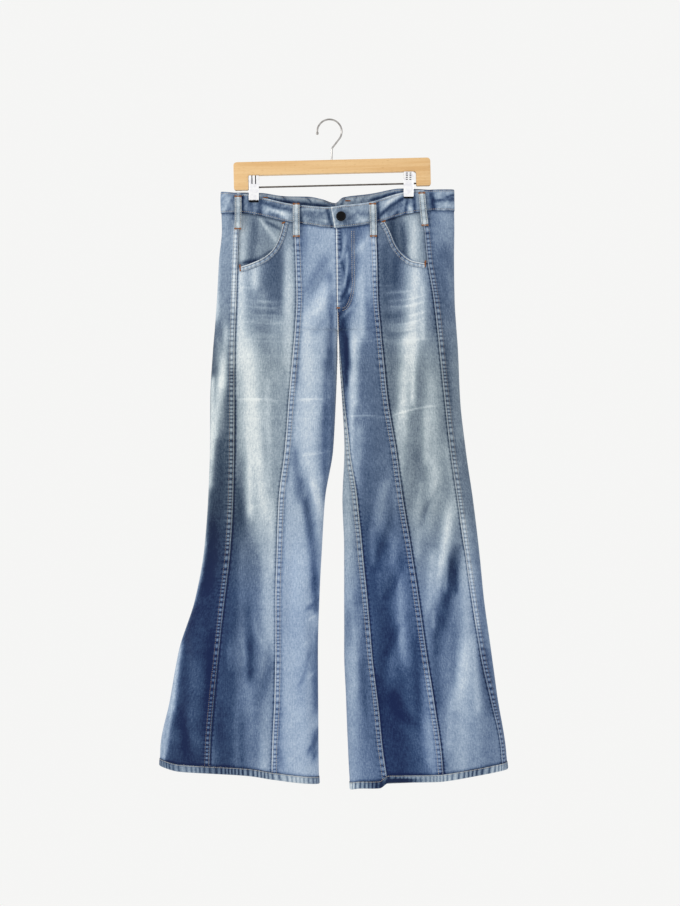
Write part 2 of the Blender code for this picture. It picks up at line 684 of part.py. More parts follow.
Loop = namedtuple("Loop", "name x top lean front")
LOOPS = (
    Loop("front_side_left", -171, 135.7, 0, True),
    Loop("front_left", -65.5, 150.5, 0.5, True),
    Loop("front_right", 71.6, 150.3, 1.5, True),
    Loop("front_side_right", 163, 129.6, 6.0, True),
    Loop("back_left", -122.5, 131.6, 0, False),
    Loop("back_centre", 27, 136.0, 0, False),
    Loop("back_right", 178, 127.0, 0, False),
)


def add_loops():
    """Folded strips tacked down at both ends, standing slightly off the waistband between them."""
    for loop in LOOPS:
        outer, inner = [], []
        for t in even(7):
            seat = BAND_OUT + LOOP_SEAT + LOOP_BULGE * math.sin(math.pi * t) ** 0.7
            if loop.name.startswith("front_side"):
                seat += LOOP_OVER_SEAM
            drop = loop.top + LOOP_LENGTH * t
            outer_row, inner_row = [], []
            for across in (-0.5, -0.25, 0, 0.25, 0.5):
                x = loop.x + loop.lean * (t - 0.5) + LOOP_WIDTH * across
                crown = 0.0 if abs(across) < 0.5 else 0.4
                outer_row.append(draped(x, drop, seat + LOOP_WALL - crown, loop.front))
                inner_row.append(draped(x, drop, seat, loop.front))
            outer.append(outer_row)
            inner.append(inner_row)
        add_slab(f"loop_{loop.name}", outer, inner, DENIM_PALE)


def add_button():
    """A shallow domed shank button with a turned rim."""
    x, y, z = draped_right(BUTTON_X, BUTTON_DROP, BAND_OUT + band_lift(BUTTON_X) + 0.5)

    def build(bm):
        height = BUTTON_HEIGHT * MM
        bmesh.ops.create_cone(
            bm, cap_ends=True, segments=24, radius1=BUTTON_RADIUS * MM,
            radius2=BUTTON_RADIUS * MM, depth=height,
        )
        top = [face for face in bm.faces if face.normal.z > 0.9]
        bmesh.ops.bevel(
            bm, geom=[e for f in top for e in f.edges], offset=BUTTON_RIM * MM, segments=3,
            profile=0.5, affect="EDGES",
        )
        top = [face for face in bm.faces if face.normal.z > 0.99]
        bmesh.ops.inset_region(bm, faces=top, thickness=BUTTON_RIM * MM, depth=-BUTTON_DISH * MM)

    made = add_mesh("button", build, (*BLACK, 0.6))
    made.rotation_euler = (math.pi / 2, 0, 0)
    made.location = (x, y - BUTTON_HEIGHT / 2 * MM, z)


# ---------------------------------------------------------------- the hanger
def hanger_frame():
    """An empty at the middle of the wood's top edge, tilted as the hanger hangs."""
    frame = bpy.data.objects.new("hanger_frame", None)
    frame.location = (HANGER_X * MM, 0, -HANGER_DROP * MM)
    frame.rotation_euler = (0, -HANGER_TILT, 0)
    bpy.context.scene.collection.objects.link(frame)
    return frame


def rounded(points, radii, steps=5):
    """An outline whose corners are turned by arcs. A radius of 0 keeps its corner."""
    outline = []
    for i, (corner, radius) in enumerate(zip(points, radii)):
        corner = np.array(corner, float)
        if not radius:
            outline.append(tuple(corner))
            continue
        before, after = np.array(points[i - 1], float), np.array(points[(i + 1) % len(points)], float)
        to_before = (before - corner) / np.linalg.norm(before - corner)
        to_after = (after - corner) / np.linalg.norm(after - corner)
        centre = corner + (to_before + to_after) * radius
        start, end = corner + to_before * radius - centre, corner + to_after * radius - centre
        for k in range(steps + 1):
            turn = math.pi / 2 * k / steps
            outline.append(tuple(centre + start * math.cos(turn) + end * math.sin(turn)))
    return outline


def add_cutter(name, radius, length, location, along_x):
    cutter = add_mesh(
        name,
        lambda bm: bmesh.ops.create_cone(
            bm, cap_ends=True, segments=14, radius1=radius * MM, radius2=radius * MM,
            depth=length * MM,
        ),
        BLACK,
    )
    cutter.hide_render = True
    cutter.display_type = "WIRE"
    cutter.rotation_euler = (0, math.pi / 2, 0) if along_x else (0, 0, 0)
    cutter.location = [c * MM for c in location]
    return cutter


def add_hanger_wood(frame):
    """An upside-down U sawn from one board, its edges eased, drilled for the hook and the rod."""
    half, inner = HANGER_WIDTH / 2, HANGER_WIDTH / 2 - HANGER_LEG
    points = [
        (-half, 0), (half, 0), (half, -HANGER_HEIGHT), (inner, -HANGER_HEIGHT),
        (inner, -BAR_HEIGHT), (-inner, -BAR_HEIGHT), (-inner, -HANGER_HEIGHT), (-half, -HANGER_HEIGHT),
    ]
    radii = [HANGER_CORNER, HANGER_CORNER, 4, 2, 3, 3, 2, 4]

    def build(bm):
        outline = rounded(points, radii)
        verts = [bm.verts.new((x * MM, -HANGER_THICK / 2 * MM, z * MM)) for x, z in outline]
        face = bm.faces.new(verts)
        grown = bmesh.ops.extrude_face_region(bm, geom=[face])["geom"]
        moved = [v for v in grown if isinstance(v, bmesh.types.BMVert)]
        bmesh.ops.translate(bm, verts=moved, vec=(0, HANGER_THICK * MM, 0))

    wood = add_mesh("hanger_wood", build, BEECH)
    wood.parent = frame
    ease = wood.modifiers.new("eased_edges", "BEVEL")
    ease.width = HANGER_EDGE * MM
    ease.segments = 2
    ease.limit_method = "ANGLE"
    ease.angle_limit = math.radians(60)
    stem = (STEM_X - HANGER_X, 0, 0)
    holes = [add_cutter("hook_hole", WIRE_RADIUS + RUNNING_GAP, 2 * HOOK_SEAT + 1, stem, False)]
    for side in (-1, 1):
        centre = (side * inner, 0, -ROD_BELOW_TOP)
        holes.append(
            add_cutter(f"rod_hole_{side + 1}", ROD_RADIUS + RUNNING_GAP, 2 * ROD_SEAT + 1, centre, True)
        )
    for hole in holes:
        hole.parent = frame
        cut = wood.modifiers.new(hole.name, "BOOLEAN")
        cut.object = hole
        cut.operation = "DIFFERENCE"
    return wood


def add_wire(name, points, radius, finish, resolution=3):
    curve = bpy.data.curves.new(name, "CURVE")
    curve.dimensions = "3D"
    curve.bevel_depth = radius * MM
    curve.bevel_resolution = resolution
    curve.use_fill_caps = True
    line = curve.splines.new("POLY")
    line.points.add(len(points) - 1)
    for point, place_at in zip(line.points, points):
        point.co = (*(c * MM for c in place_at), 1)
    curve.materials.append(material(name, *finish))
    made = bpy.data.objects.new(name, curve)
    bpy.context.scene.collection.objects.link(made)
    return made


def stem_at(drop):
    """The stem stands square on the tilted wood."""
    return STEM_X + (drop - HANGER_DROP) * math.tan(HANGER_TILT)


def add_hook():
    """Round the top from the tip, then out and back to a straight stem in the wood."""
    points = []
    for t in even(25):
        turn = math.radians(HOOK_TIP + (HOOK_END - HOOK_TIP) * t)
        x, drop = HOOK_X + HOOK_RADIUS * math.cos(turn), HOOK_DROP - HOOK_RADIUS * math.sin(turn)
        points.append((x, 0, -drop))
    stem_x = stem_at(NECK_DROP)
    for t in even(9)[1:-1]:
        ease = t * t * (3 - 2 * t)
        lead = 0.25 * (t - ease) * (x - stem_x)
        points.append((x + (stem_x - x) * ease - lead, 0, -(drop + (NECK_DROP - drop) * t)))
    for stem_drop in (NECK_DROP, NECK_DROP + 10, HANGER_DROP + HOOK_SEAT - 1):
        points.append((stem_at(stem_drop), 0, -stem_drop))
    add_wire("hanger_hook", points, WIRE_RADIUS, STEEL, 2)


def add_rod(frame):
    reach = HANGER_WIDTH / 2 - HANGER_LEG + ROD_SEAT - RUNNING_GAP
    ends = [(-reach, 0, -ROD_BELOW_TOP), (reach, 0, -ROD_BELOW_TOP)]
    rod = add_wire("hanger_rod", ends, ROD_RADIUS, DARK_STEEL, 3)
    rod.parent = frame


def add_prism(name, outline, width, x, finish):
    """An outline in Y and Z, as thick as width, across x."""

    def build(bm):
        verts = [bm.verts.new(((x - width / 2) * MM, y * MM, z * MM)) for y, z in outline]
        face = bm.faces.new(verts)
        grown = bmesh.ops.extrude_face_region(bm, geom=[face])["geom"]
        moved = [v for v in grown if isinstance(v, bmesh.types.BMVert)]
        bmesh.ops.translate(bm, verts=moved, vec=(width * MM, 0, 0))

    return add_mesh(name, build, finish)


def add_clips():
    """Two pressed-steel jaws round a spring barrel that slides on the rod, with rubber pads."""
    pad_face = PINCH_DEPTH + BAND_OUT + SEAM_GAP
    pad_back = pad_face + PAD_THICK
    jaw_face = pad_back + RUNNING_GAP
    for clip_x, side in zip(CLIP_X, ("left", "right")):
        rod_z = -HANGER_DROP - ROD_BELOW_TOP + (clip_x - HANGER_X) * math.tan(HANGER_TILT)
        top, bottom = rod_z + CLIP_ABOVE, rod_z - CLIP_BELOW
        for way, where in ((-1, "front"), (1, "back")):
            line = [
                (CLIP_OPEN, top), (CLIP_OPEN, top - 6), (jaw_face, rod_z + 6), (jaw_face, bottom),
            ]
            outer = [(y + CLIP_SHEET, z) for y, z in reversed(line)]
            outline = [(way * y, z) for y, z in line + outer]
            jaw = add_prism(f"clip_{side}_jaw_{where}", outline, CLIP_WIDTH, clip_x, STEEL)
            ease = jaw.modifiers.new("pressed_edges", "BEVEL")
            ease.width = 0.35 * MM
            ease.segments = 1
            ease.limit_method = "ANGLE"
            ease.angle_limit = math.radians(60)
            low, high = bottom - PAD_SHOWS, bottom + PAD_HEIGHT
            pad = [(pad_face, low), (pad_face, high), (pad_back, high), (pad_back, low)]
            outline = [(way * y, z) for y, z in pad]
            add_prism(f"clip_{side}_pad_{where}", outline, CLIP_WIDTH - CLIP_SHEET, clip_x, BLACK)

        def build(bm):
            rings = []
            for radius in (ROD_RADIUS + RUNNING_GAP, BARREL_RADIUS):
                circle = bmesh.ops.create_circle(bm, segments=18, radius=radius * MM)["verts"]
                rings.append([e for e in bm.edges if e.verts[0] in circle and e.verts[1] in circle])
            faces = bmesh.ops.bridge_loops(bm, edges=rings[0] + rings[1])["faces"]
            grown = bmesh.ops.extrude_face_region(bm, geom=faces)["geom"]
            moved = [v for v in grown if isinstance(v, bmesh.types.BMVert)]
            bmesh.ops.translate(bm, verts=moved, vec=(0, 0, (CLIP_WIDTH - 3) * MM))
            bmesh.ops.translate(bm, verts=bm.verts, vec=(0, 0, -(CLIP_WIDTH - 3) / 2 * MM))

        barrel = add_mesh(f"clip_{side}_spring", build, DARK_STEEL)
        barrel.rotation_euler = (0, math.pi / 2 - HANGER_TILT, 0)
        barrel.location = (clip_x * MM, 0, rod_z * MM)


def main():
    for old in list(bpy.data.objects):
        bpy.data.objects.remove(old, do_unlink=True)
    for leg in LEGS:
        for panel in panels_of(leg):
            add_panel(panel)
        add_hem(leg)
    add_pockets()
    add_fly_facing()
    add_waistband()
    add_loops()
    add_button()
    frame = hanger_frame()
    add_hanger_wood(frame)
    add_hook()
    add_rod(frame)
    add_clips()


main()
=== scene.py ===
# %% [markdown]
# # Flared jeans on a wooden clip hanger
#
# This lesson dresses a plain solid model as a worn pair of denim flares. The solids are exact but bare,
# and they are loaded here as a fixed frame. Each cloth solid gets a finer shell of its own shape, with
# felled seams, creases and fading, and the hanger's hard parts are modelled with Blender's own operators.
# Everything is in metres, with the hook's inside top at the origin and the garment's front facing -Y.

# %% Imports and the frame
import math
from collections import namedtuple

import bmesh
import bpy
import numpy as np
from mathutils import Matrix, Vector


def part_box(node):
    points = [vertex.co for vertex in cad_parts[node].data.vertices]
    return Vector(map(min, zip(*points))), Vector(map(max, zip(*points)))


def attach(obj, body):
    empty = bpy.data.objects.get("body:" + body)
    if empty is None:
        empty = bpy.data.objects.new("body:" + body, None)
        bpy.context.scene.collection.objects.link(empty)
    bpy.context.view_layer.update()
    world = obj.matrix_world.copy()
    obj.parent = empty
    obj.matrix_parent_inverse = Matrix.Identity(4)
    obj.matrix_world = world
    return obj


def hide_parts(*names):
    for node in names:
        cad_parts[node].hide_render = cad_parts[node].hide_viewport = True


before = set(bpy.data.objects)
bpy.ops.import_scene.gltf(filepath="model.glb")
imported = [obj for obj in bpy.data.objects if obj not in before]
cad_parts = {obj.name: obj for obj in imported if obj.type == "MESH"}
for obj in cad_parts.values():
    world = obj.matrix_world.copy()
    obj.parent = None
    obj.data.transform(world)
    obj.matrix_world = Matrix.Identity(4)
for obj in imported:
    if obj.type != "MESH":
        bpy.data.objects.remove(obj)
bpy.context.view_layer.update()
bpy.ops.object.select_all(action="DESELECT")
MM = 0.001

# %% [markdown]
# ## Camera, light and floor
#
# The garment is seen straight on from three metres away, so the lens is worked out from that distance and
# from the height that the picture takes in. One large soft lamp above on the left shapes the folds, and a
# pale world fills the rest, as white walls would. The Standard view transform keeps cloth colours true.

# %% Camera
VIEW_HEIGHT = 1.631  # what the picture's height takes in, at the garment
VIEW_DISTANCE = 3.0
VIEW_X, VIEW_Z = 0.0126, -0.598
SENSOR = 36.0

bpy.ops.object.camera_add(location=(VIEW_X, -VIEW_DISTANCE, VIEW_Z), rotation=(math.pi / 2, 0, 0))
camera = bpy.context.object
camera.data.sensor_width = SENSOR
camera.data.lens = SENSOR * VIEW_DISTANCE / VIEW_HEIGHT
bpy.context.scene.camera = camera
bpy.context.scene.view_settings.view_transform = "Standard"
print("lens", round(camera.data.lens, 1), "mm")


# %% Colours and light
def linear(hex_colour):
    """A linear RGBA colour from an sRGB hex value."""
    channels = [int(hex_colour[i : i + 2], 16) / 255 for i in (1, 3, 5)]
    return (*(c / 12.92 if c <= 0.04045 else ((c + 0.055) / 1.055) ** 2.4 for c in channels), 1.0)


world = bpy.data.worlds.new("white_room")
world.use_nodes = True
world.node_tree.nodes["Background"].inputs["Color"].default_value = linear("#FBFBFA")
world.node_tree.nodes["Background"].inputs["Strength"].default_value = 0.95
bpy.context.scene.world = world


def add_soft_lamp(name, place, aim, size, power, colour):
    bpy.ops.object.light_add(type="AREA", location=place)
    lamp = bpy.context.object
    lamp.name = name
    lamp.data.shape = "DISK"
    lamp.data.size = size
    lamp.data.energy = power
    lamp.data.color = linear(colour)[:3]
    lamp.rotation_euler = (Vector(aim) - Vector(place)).to_track_quat("-Z", "Y").to_euler()


GARMENT_MIDDLE = (0.0, 0.0, -0.62)
add_soft_lamp("window_left", (-2.3, -1.6, 0.5), GARMENT_MIDDLE, 1.1, 26, "#FFFDF8")
add_soft_lamp("fill_right", (2.0, -2.6, 0.2), GARMENT_MIDDLE, 1.8, 5, "#F2F6FF")

# %% Floor
FLOOR_Z = -1.75
bpy.ops.mesh.primitive_plane_add(size=3.4, location=(0, -0.8, FLOOR_Z))
floor = bpy.context.object
floor.name = "floor"
floor_paint = bpy.data.materials.new("matt_floor_paint")
floor_paint.use_nodes = True
floor_paint.node_tree.nodes["Principled BSDF"].inputs["Base Color"].default_value = linear("#EDEDEB")
floor_paint.node_tree.nodes["Principled BSDF"].inputs["Roughness"].default_value = 0.8
floor.data.materials.append(floor_paint)

# %% [markdown]
# ## The garment's form
#
# A hanging trouser leg is a flat tube. At each height its outline is a slim ellipse with rounded side
# folds, and vertical folds push it in or out. A few tables hold the sizes, in millimetres: x is measured
# from the hook, and a drop is a distance below it. They are the solid model's own tables, so that every
# shell made from them lies exactly where its solid is.

# %% Driving sizes
WALL = 1.4  # one layer of denim
SEAM_GAP = 0.4
SEAM_BAND = 11.0  # width of a felled seam
SEAM_RISE = 1.1
FOLD_RADIUS = 5.0
BACK_FULLNESS = 1.12
CENTRE_X = 5.5
CROTCH_DROP = 378.0
MERGE_POWER = 0.62  # how the two legs' hollows join above the crotch
BODY_TOP, BODY_BOTTOM = 183.0, 1168.0
HEM_HEIGHT = 13.0
BAND_OUT, BAND_IN = 0.7, 1.7  # the waistband's faces, out from and in from the panel's face
FLY_LIFT, FLY_WIDTH, FLY_BOTTOM = 1.8, 30.0, 342.0
FLY_SHORTER = 12.0
FACING_DEPTH, FACING_WALL, FACING_OVERLAP = 1.9, 1.2, 22.0
EDGE_WIDTH, EDGE_LIFT, EDGE_WALL = 10.0, 0.4, 1.0
LAP_END, UNDER_END, LAP_LEAN = -3.6, 17.0, 6.5
LOOP_WIDTH, LOOP_WALL, LOOP_LENGTH, LOOP_BULGE = 12.0, 2.0, 61.0, 2.4
LOOP_SEAT, LOOP_OVER_SEAM = 0.5, 0.9
BUTTON_X = 14.4
PINCH_DEPTH, PINCH_SPREAD = 2.4, 32.0
CLIP_X, CLIP_WIDTH = (-142.2, 135.9), 18.0

# %% Leg outlines
# Inner is the centre line above the crotch. Inseam is its distance from the inner fold, positive in
# front. Depth is half the garment's depth.
LegRow = namedtuple("LegRow", "drop outer side princess inner inseam depth")
LEFT_ROWS = (
    (110, -201, -171, -65, 5.4, 0, 12), (142, -202, -172, -65, 5.4, 0, 14),
    (196, -200, -174, -64, 5.6, 0, 17), (250, -205, -176, -62, 6.5, 0, 20),
    (322, -209, -178, -60, 7.4, 0, 22), (378, -213, -180, -63, 8.4, 0, 22),
    (412, -216, -181, -66, 7.2, 0, 21), (502, -221, -181.5, -74, 4.5, -1, 19),
    (592, -221.5, -182, -81, 0.2, -2, 18), (682, -225, -184, -92, -14.4, -3, 17),
    (772, -232, -189, -95.5, -20, -6, 18), (862, -248.5, -199, -98, -24.5, -9, 20),
    (952, -277, -208.5, -98, -27, -12, 23), (1042, -293.5, -218, -99.5, -26.5, -14, 26),
    (1132, -311, -224.5, -104, -26, -16, 29), (1205, -312, -226, -105, -25, -17, 30),
)
RIGHT_ROWS = (
    (110, 218, 161, 71, 5.4, 0, 12), (142, 218, 163, 71, 5.4, 0, 14), (196, 218.5, 169, 72, 5.6, 0, 17),
    (250, 218, 174, 74, 6.5, 0, 20), (322, 219, 185.5, 76, 7.4, 0, 22),
    (378, 222.5, 192, 81, 9.4, 0, 22), (412, 225, 195.5, 84, 11.7, 0, 21),
    (502, 229, 205, 93, 16.2, 2, 19), (592, 239, 215, 108, 20.5, 6, 18),
    (682, 252, 228, 120.5, 17, 22, 17), (772, 263, 240.5, 135.5, 20, 28, 18),
    (862, 272, 253.5, 149, 20, 37, 20), (952, 284.5, 268, 161.5, 20, 45, 23),
    (1042, 297, 288, 175.5, 23.5, 52, 26), (1132, 311.5, 305, 188.5, 27, 58, 29),
    (1205, 316.5, 309, 194.5, 31, 65, 30),
)

# %% Edge lines
# Each point is its x and its drop.
BAND_TOP_FRONT = (
    (-202, 128), (-165, 131.5), (-128, 138.6), (-72, 152), (-4, 157.5), (15, 154.8), (64, 148.7),
    (123, 130), (151, 125.5), (218, 124.2),
)
BAND_TOP_BACK = (
    (-202, 128), (-130, 129.6), (-85, 134), (-47, 134.2), (-21, 138.6), (4, 145.8), (18, 135.7),
    (66, 129.6), (124, 121.5), (151, 122.5), (218, 124.2),
)
BAND_SEAM_FRONT = (
    (-202, 167), (-162, 166.3), (-130, 171), (-88, 182.3), (-47, 189), (5, 195.3), (27, 193.7),
    (82, 184), (133, 168), (175, 163.1), (218, 163),
)
BAND_SEAM_BACK = (
    (-202, 167), (-130, 168.5), (-60, 172.5), (5, 174.5), (66, 168.5), (124, 160.5), (175, 161),
    (218, 163),
)
HEM_LEFT_FRONT = (
    (-312, 1160), (-275, 1168), (-220, 1170), (-155, 1173.5), (-101, 1182), (-67, 1187.5), (-26, 1192.5),
)
HEM_LEFT_BACK = ((-312, 1160), (-170, 1171), (-26, 1192.5))
HEM_RIGHT_FRONT = (
    (31, 1202.5), (47, 1199), (82, 1197), (99, 1186.5), (189, 1184.5), (207, 1182.5), (265, 1173.5),
    (317, 1165.5),
)
HEM_RIGHT_BACK = (
    (31, 1202.5), (82, 1199), (140, 1197.5), (185, 1194), (215, 1183.5), (265, 1173.5), (317, 1165.5),
)
POCKET_LEFT = (
    (-167, 264.5), (-143, 256.3), (-120.6, 244.8), (-104.4, 228.6), (-94.7, 207), (-88.4, 183.5),
)
POCKET_RIGHT = (
    (165.6, 258), (141.5, 253), (123.8, 240.3), (110.9, 222.5), (101.3, 199.8), (91.5, 182),
)

# %% The largest folds
# A fold is a soft ridge, or a trough where its height is negative. Lean is how far x moves from its
# top to its bottom.
Fold = namedtuple("Fold", "x top bottom lean width height")
FOLDS_FRONT = (
    (-113, 225, 430, 6, 15, -4.0), (-158, 860, 1050, -6, 12, -6.0), (-185, 840, 1010, -18, 12, 3.5),
    (-50, 760, 1190, 8, 14, 4.5), (-76, 740, 960, -5, 10, -4.0), (-128, 1010, 1190, 34, 13, 3.5),
    (-266, 880, 1030, 34, 11, -5.0), (103, 225, 470, -4, 15, -4.0), (24, 250, 400, -6, 12, -4.0),
    (98, 740, 1195, -22, 20, -8.0), (222, 750, 890, -8, 11, -5.0), (250, 830, 1170, 30, 20, 5.5),
    (70, 420, 700, 12, 14, 3.0),
)
FOLDS_BACK = (
    (-120, 430, 560, 40, 16, -5.0), (-60, 440, 640, -30, 14, 4.0), (-190, 700, 1180, -40, 22, -7.0),
    (-110, 780, 1190, 6, 20, 5.5), (-60, 900, 1190, 10, 12, -5.0), (120, 430, 570, -36, 16, -5.0),
    (72, 450, 650, 26, 14, 4.0), (230, 720, 1180, 44, 22, -7.0), (150, 800, 1190, 16, 20, 5.5),
    (80, 900, 1190, -6, 12, -5.0),
)
Leg = namedtuple("Leg", "name sign rows pocket hem_front hem_back")
LEFT = Leg("left", -1, LEFT_ROWS, POCKET_LEFT, HEM_LEFT_FRONT, HEM_LEFT_BACK)
RIGHT = Leg("right", 1, RIGHT_ROWS, POCKET_RIGHT, HEM_RIGHT_FRONT, HEM_RIGHT_BACK)
LEGS = (LEFT, RIGHT)


# %% Curves through the tables
def smooth_curve(xs, ys, x):
    """Value at x of a curve through the points that never overshoots them."""
    xs, ys = np.asarray(xs, float), np.asarray(ys, float)
    x = np.clip(x, xs[0], xs[-1])
    slopes = np.diff(ys) / np.diff(xs)
    tangents = np.zeros(len(xs))
    same_way = slopes[:-1] * slopes[1:] > 0
    inner = np.zeros(len(slopes) - 1)
    inner[same_way] = 2 / (1 / slopes[:-1][same_way] + 1 / slopes[1:][same_way])
    tangents[1:-1] = inner
    tangents[0], tangents[-1] = slopes[0], slopes[-1]
    i = np.clip(np.searchsorted(xs, x, side="right") - 1, 0, len(xs) - 2)
    step = xs[i + 1] - xs[i]
    t = (x - xs[i]) / step
    return (
        ys[i] * (1 + 2 * t) * (1 - t) ** 2
        + tangents[i] * step * t * (1 - t) ** 2
        + ys[i + 1] * t * t * (3 - 2 * t)
        + tangents[i + 1] * step * t * t * (t - 1)
    )


def edge_drop(edge, x):
    """Drop of an edge line at x."""
    return smooth_curve(*zip(*sorted(edge)), x)


def leg_row(leg, drop):
    """The leg's table read at any drop."""
    drops = [row[0] for row in leg.rows]
    return LegRow(*(float(smooth_curve(drops, column, drop)) for column in zip(*leg.rows)))


def ramp(value, start, end):
    """0 before start, 1 after end, and smooth between them."""
    t = np.clip((value - start) / (end - start), 0, 1)
    return t * t * (3 - 2 * t)


def fold_height(folds, x, drop):
    total = np.zeros_like(x)
    for fold in map(Fold._make, folds):
        along = (drop - fold.top) / (fold.bottom - fold.top)
        if 0 < along < 1:
            centre = fold.x + fold.lean * (along - 0.5)
            swell = math.sin(math.pi * along) ** 0.8
            total += fold.height * swell * np.exp(-(((x - centre) / fold.width) ** 2))
    return total


def pinched(x, y, drop):
    """Draws the two layers together between each clip's jaws."""
    grip = 1 - ramp(drop, 150, 330)
    for clip_x in CLIP_X:
        beyond = np.maximum(np.abs(x - clip_x) - CLIP_WIDTH / 2, 0)
        near = grip * np.exp(-((beyond / PINCH_SPREAD) ** 2))
        over = np.maximum(np.abs(y) - PINCH_DEPTH, 0)
        y = np.sign(y) * (np.abs(y) - over * near)
    return y


# %% [markdown]
# A section is the leg's outline at one drop. It runs from the inner edge over the front to the outer
# fold and round the back. A place on it is given by its measure, the length along the outline, with a
# little more counted where it turns, so that evenly spaced measures put more points on a tight fold.


# %% One section
class Section:
    STEPS = 1440
    TURN = 9.0  # a turn of one radian counts as this much length

    def __init__(self, leg, drop):
        row = leg_row(leg, drop)
        self.sign, self.row = leg.sign, row
        self.open = drop < CROTCH_DROP
        merge = max(0.0, 1 - (drop - 110) / (CROTCH_DROP - 110)) ** MERGE_POWER if self.open else 0.0
        inner = row.inner - leg.sign * merge * abs(row.outer - row.inner)
        middle, half = (row.outer + inner) / 2, abs(row.outer - inner) / 2
        angle = np.linspace(0, 2 * math.pi, self.STEPS + 1)
        in_front = np.sin(angle) >= 0
        deep = np.where(in_front, row.depth, row.depth * BACK_FULLNESS) - FOLD_RADIUS
        wide = half - FOLD_RADIUS
        normal_x, normal_y = -np.cos(angle) / wide, -np.sin(angle) / deep
        size = np.hypot(normal_x, normal_y)
        normal_x, normal_y = normal_x / size, normal_y / size
        x = middle + leg.sign * (-np.cos(angle) * wide + FOLD_RADIUS * normal_x)
        y = -np.sin(angle) * deep + FOLD_RADIUS * normal_y
        front, back = fold_height(FOLDS_FRONT, x, drop), fold_height(FOLDS_BACK, x, drop)
        height = np.where(in_front, front, back) * np.abs(normal_y)
        x = x + leg.sign * normal_x * height
        y = pinched(x, y + normal_y * height, drop)
        if self.open:
            x, y = self.trimmed(x, y, row.inner + leg.sign * SEAM_GAP / 2)
        self.x, self.y = x, y
        self.take_measure()

    def trimmed(self, x, y, plane):
        """Only the part beyond the garment's centre plane, ending exactly on it."""
        beyond = self.sign * (x - plane)
        kept = np.nonzero(beyond > 0)[0]
        first, last = kept[0], kept[-1]
        ends = []
        for i, j in ((first - 1, first), (last + 1, last)):
            t = beyond[i] / (beyond[i] - beyond[j])
            ends.append((plane, y[i] + (y[j] - y[i]) * t))
        x = np.concatenate([[ends[0][0]], x[first : last + 1], [ends[1][0]]])
        y = np.concatenate([[ends[0][1]], y[first : last + 1], [ends[1][1]]])
        return x, y

    def take_measure(self):
        dx, dy = np.gradient(self.x), np.gradient(self.y)
        if not self.open:
            dx[0] = dx[-1] = self.x[1] - self.x[-2]
            dy[0] = dy[-1] = self.y[1] - self.y[-2]
        size = np.hypot(dx, dy)
        self.nx, self.ny = self.sign * dy / size, -self.sign * dx / size
        heading = np.unwrap(np.arctan2(dy, dx))
        step = np.hypot(np.diff(self.x), np.diff(self.y)) + self.TURN * np.abs(np.diff(heading))
        self.m = np.concatenate([[0], np.cumsum(step)])
        if self.open:  # a wall's edge stays in the centre plane
            for end in (0, -1):
                self.nx[end], self.ny[end] = 0.0, np.sign(self.ny[end])
        self.total = self.m[-1]
        self.peak = int(np.argmax(self.sign * self.x))

    def at(self, m):
        """x, y, normal x and normal y at a measure along the outline."""
        if not self.open:
            m = np.mod(m, self.total)
        return np.array([np.interp(m, self.m, values) for values in (self.x, self.y, self.nx, self.ny)])

    def front(self, x):
        """Measure of the front point at x."""
        part = slice(0, self.peak + 1)
        return np.interp(self.sign * x, self.sign * self.x[part], self.m[part])

    def back(self, x):
        """Measure of the back point at x."""
        part = slice(self.peak, None)
        return np.interp(-self.sign * x, -self.sign * self.x[part], self.m[part])

    def inseam(self):
        """Measure of the seam between front and back at the inner side."""
        if self.open:
            return 0.0
        sign, row = self.sign, self.row
        if row.inseam >= 0:
            return self.front(row.inner + sign * row.inseam)
        return self.back(row.inner - sign * row.inseam) - self.total


SECTIONS = {}


def section(leg, drop):
    key = (leg.name, round(float(drop), 1))
    if key not in SECTIONS:
        SECTIONS[key] = Section(leg, key[1])
    return SECTIONS[key]


print("left thigh girth", round(section(LEFT, 450).total), "mm")

# %% [markdown]
# ## Points on the cloth
#
# A fine sheet has tens of thousands of points, so whole columns are worked out together. `drape` reads level
# lines two millimetres apart and interpolates down each column. A single point, such as a small piece
# needs, comes from `on_cloth`, which takes the place where it is seen.

# %% Reading the form
LEVEL_PITCH = 2.0


def drape(line_at, drops):
    """Reads a grid of drops from level lines. A line has a row for each value, and a column for each."""
    first = math.floor(drops.min() / LEVEL_PITCH) * LEVEL_PITCH
    levels = np.arange(first, drops.max() + LEVEL_PITCH, LEVEL_PITCH)
    lines = np.array([line_at(level) for level in levels])
    grid = np.empty((lines.shape[1], *drops.shape))
    for column in range(drops.shape[1]):
        for part in range(lines.shape[1]):
            grid[part, :, column] = np.interp(drops[:, column], levels, lines[:, part, column])
    return grid


def leg_at(x):
    return LEFT if x < CENTRE_X else RIGHT


def on_cloth(x, drop, front):
    """x, y, normal x and normal y of the plain form where it is seen at x and drop."""
    leg = leg_at(x)
    level = math.floor(drop)
    below = drop - level
    faces = []
    for at_drop in (level, level + 1):
        cut = section(leg, at_drop)
        faces.append(cut.at(cut.front(x) if front else cut.back(x)))
    return faces[0] * (1 - below) + faces[1] * below


# %% Panel edges
def bound_at(leg, which, drop):
    """Measure of a panel's side edge."""
    cut = section(leg, drop)
    half_band, half_gap = SEAM_BAND / 2, SEAM_GAP / 2
    if which == "princess":
        return cut.front(cut.row.princess) + half_band
    if which == "side":
        return cut.front(cut.row.side) - half_band
    grown = min(1.0, max(0.0, drop - CROTCH_DROP) / 40)
    inner = cut.inseam() + grown * half_band
    at_centre = -half_gap if cut.open else 0.0  # the centre seam already has its gap
    if which == "inner_front":
        return inner + at_centre
    return cut.total + inner - at_centre


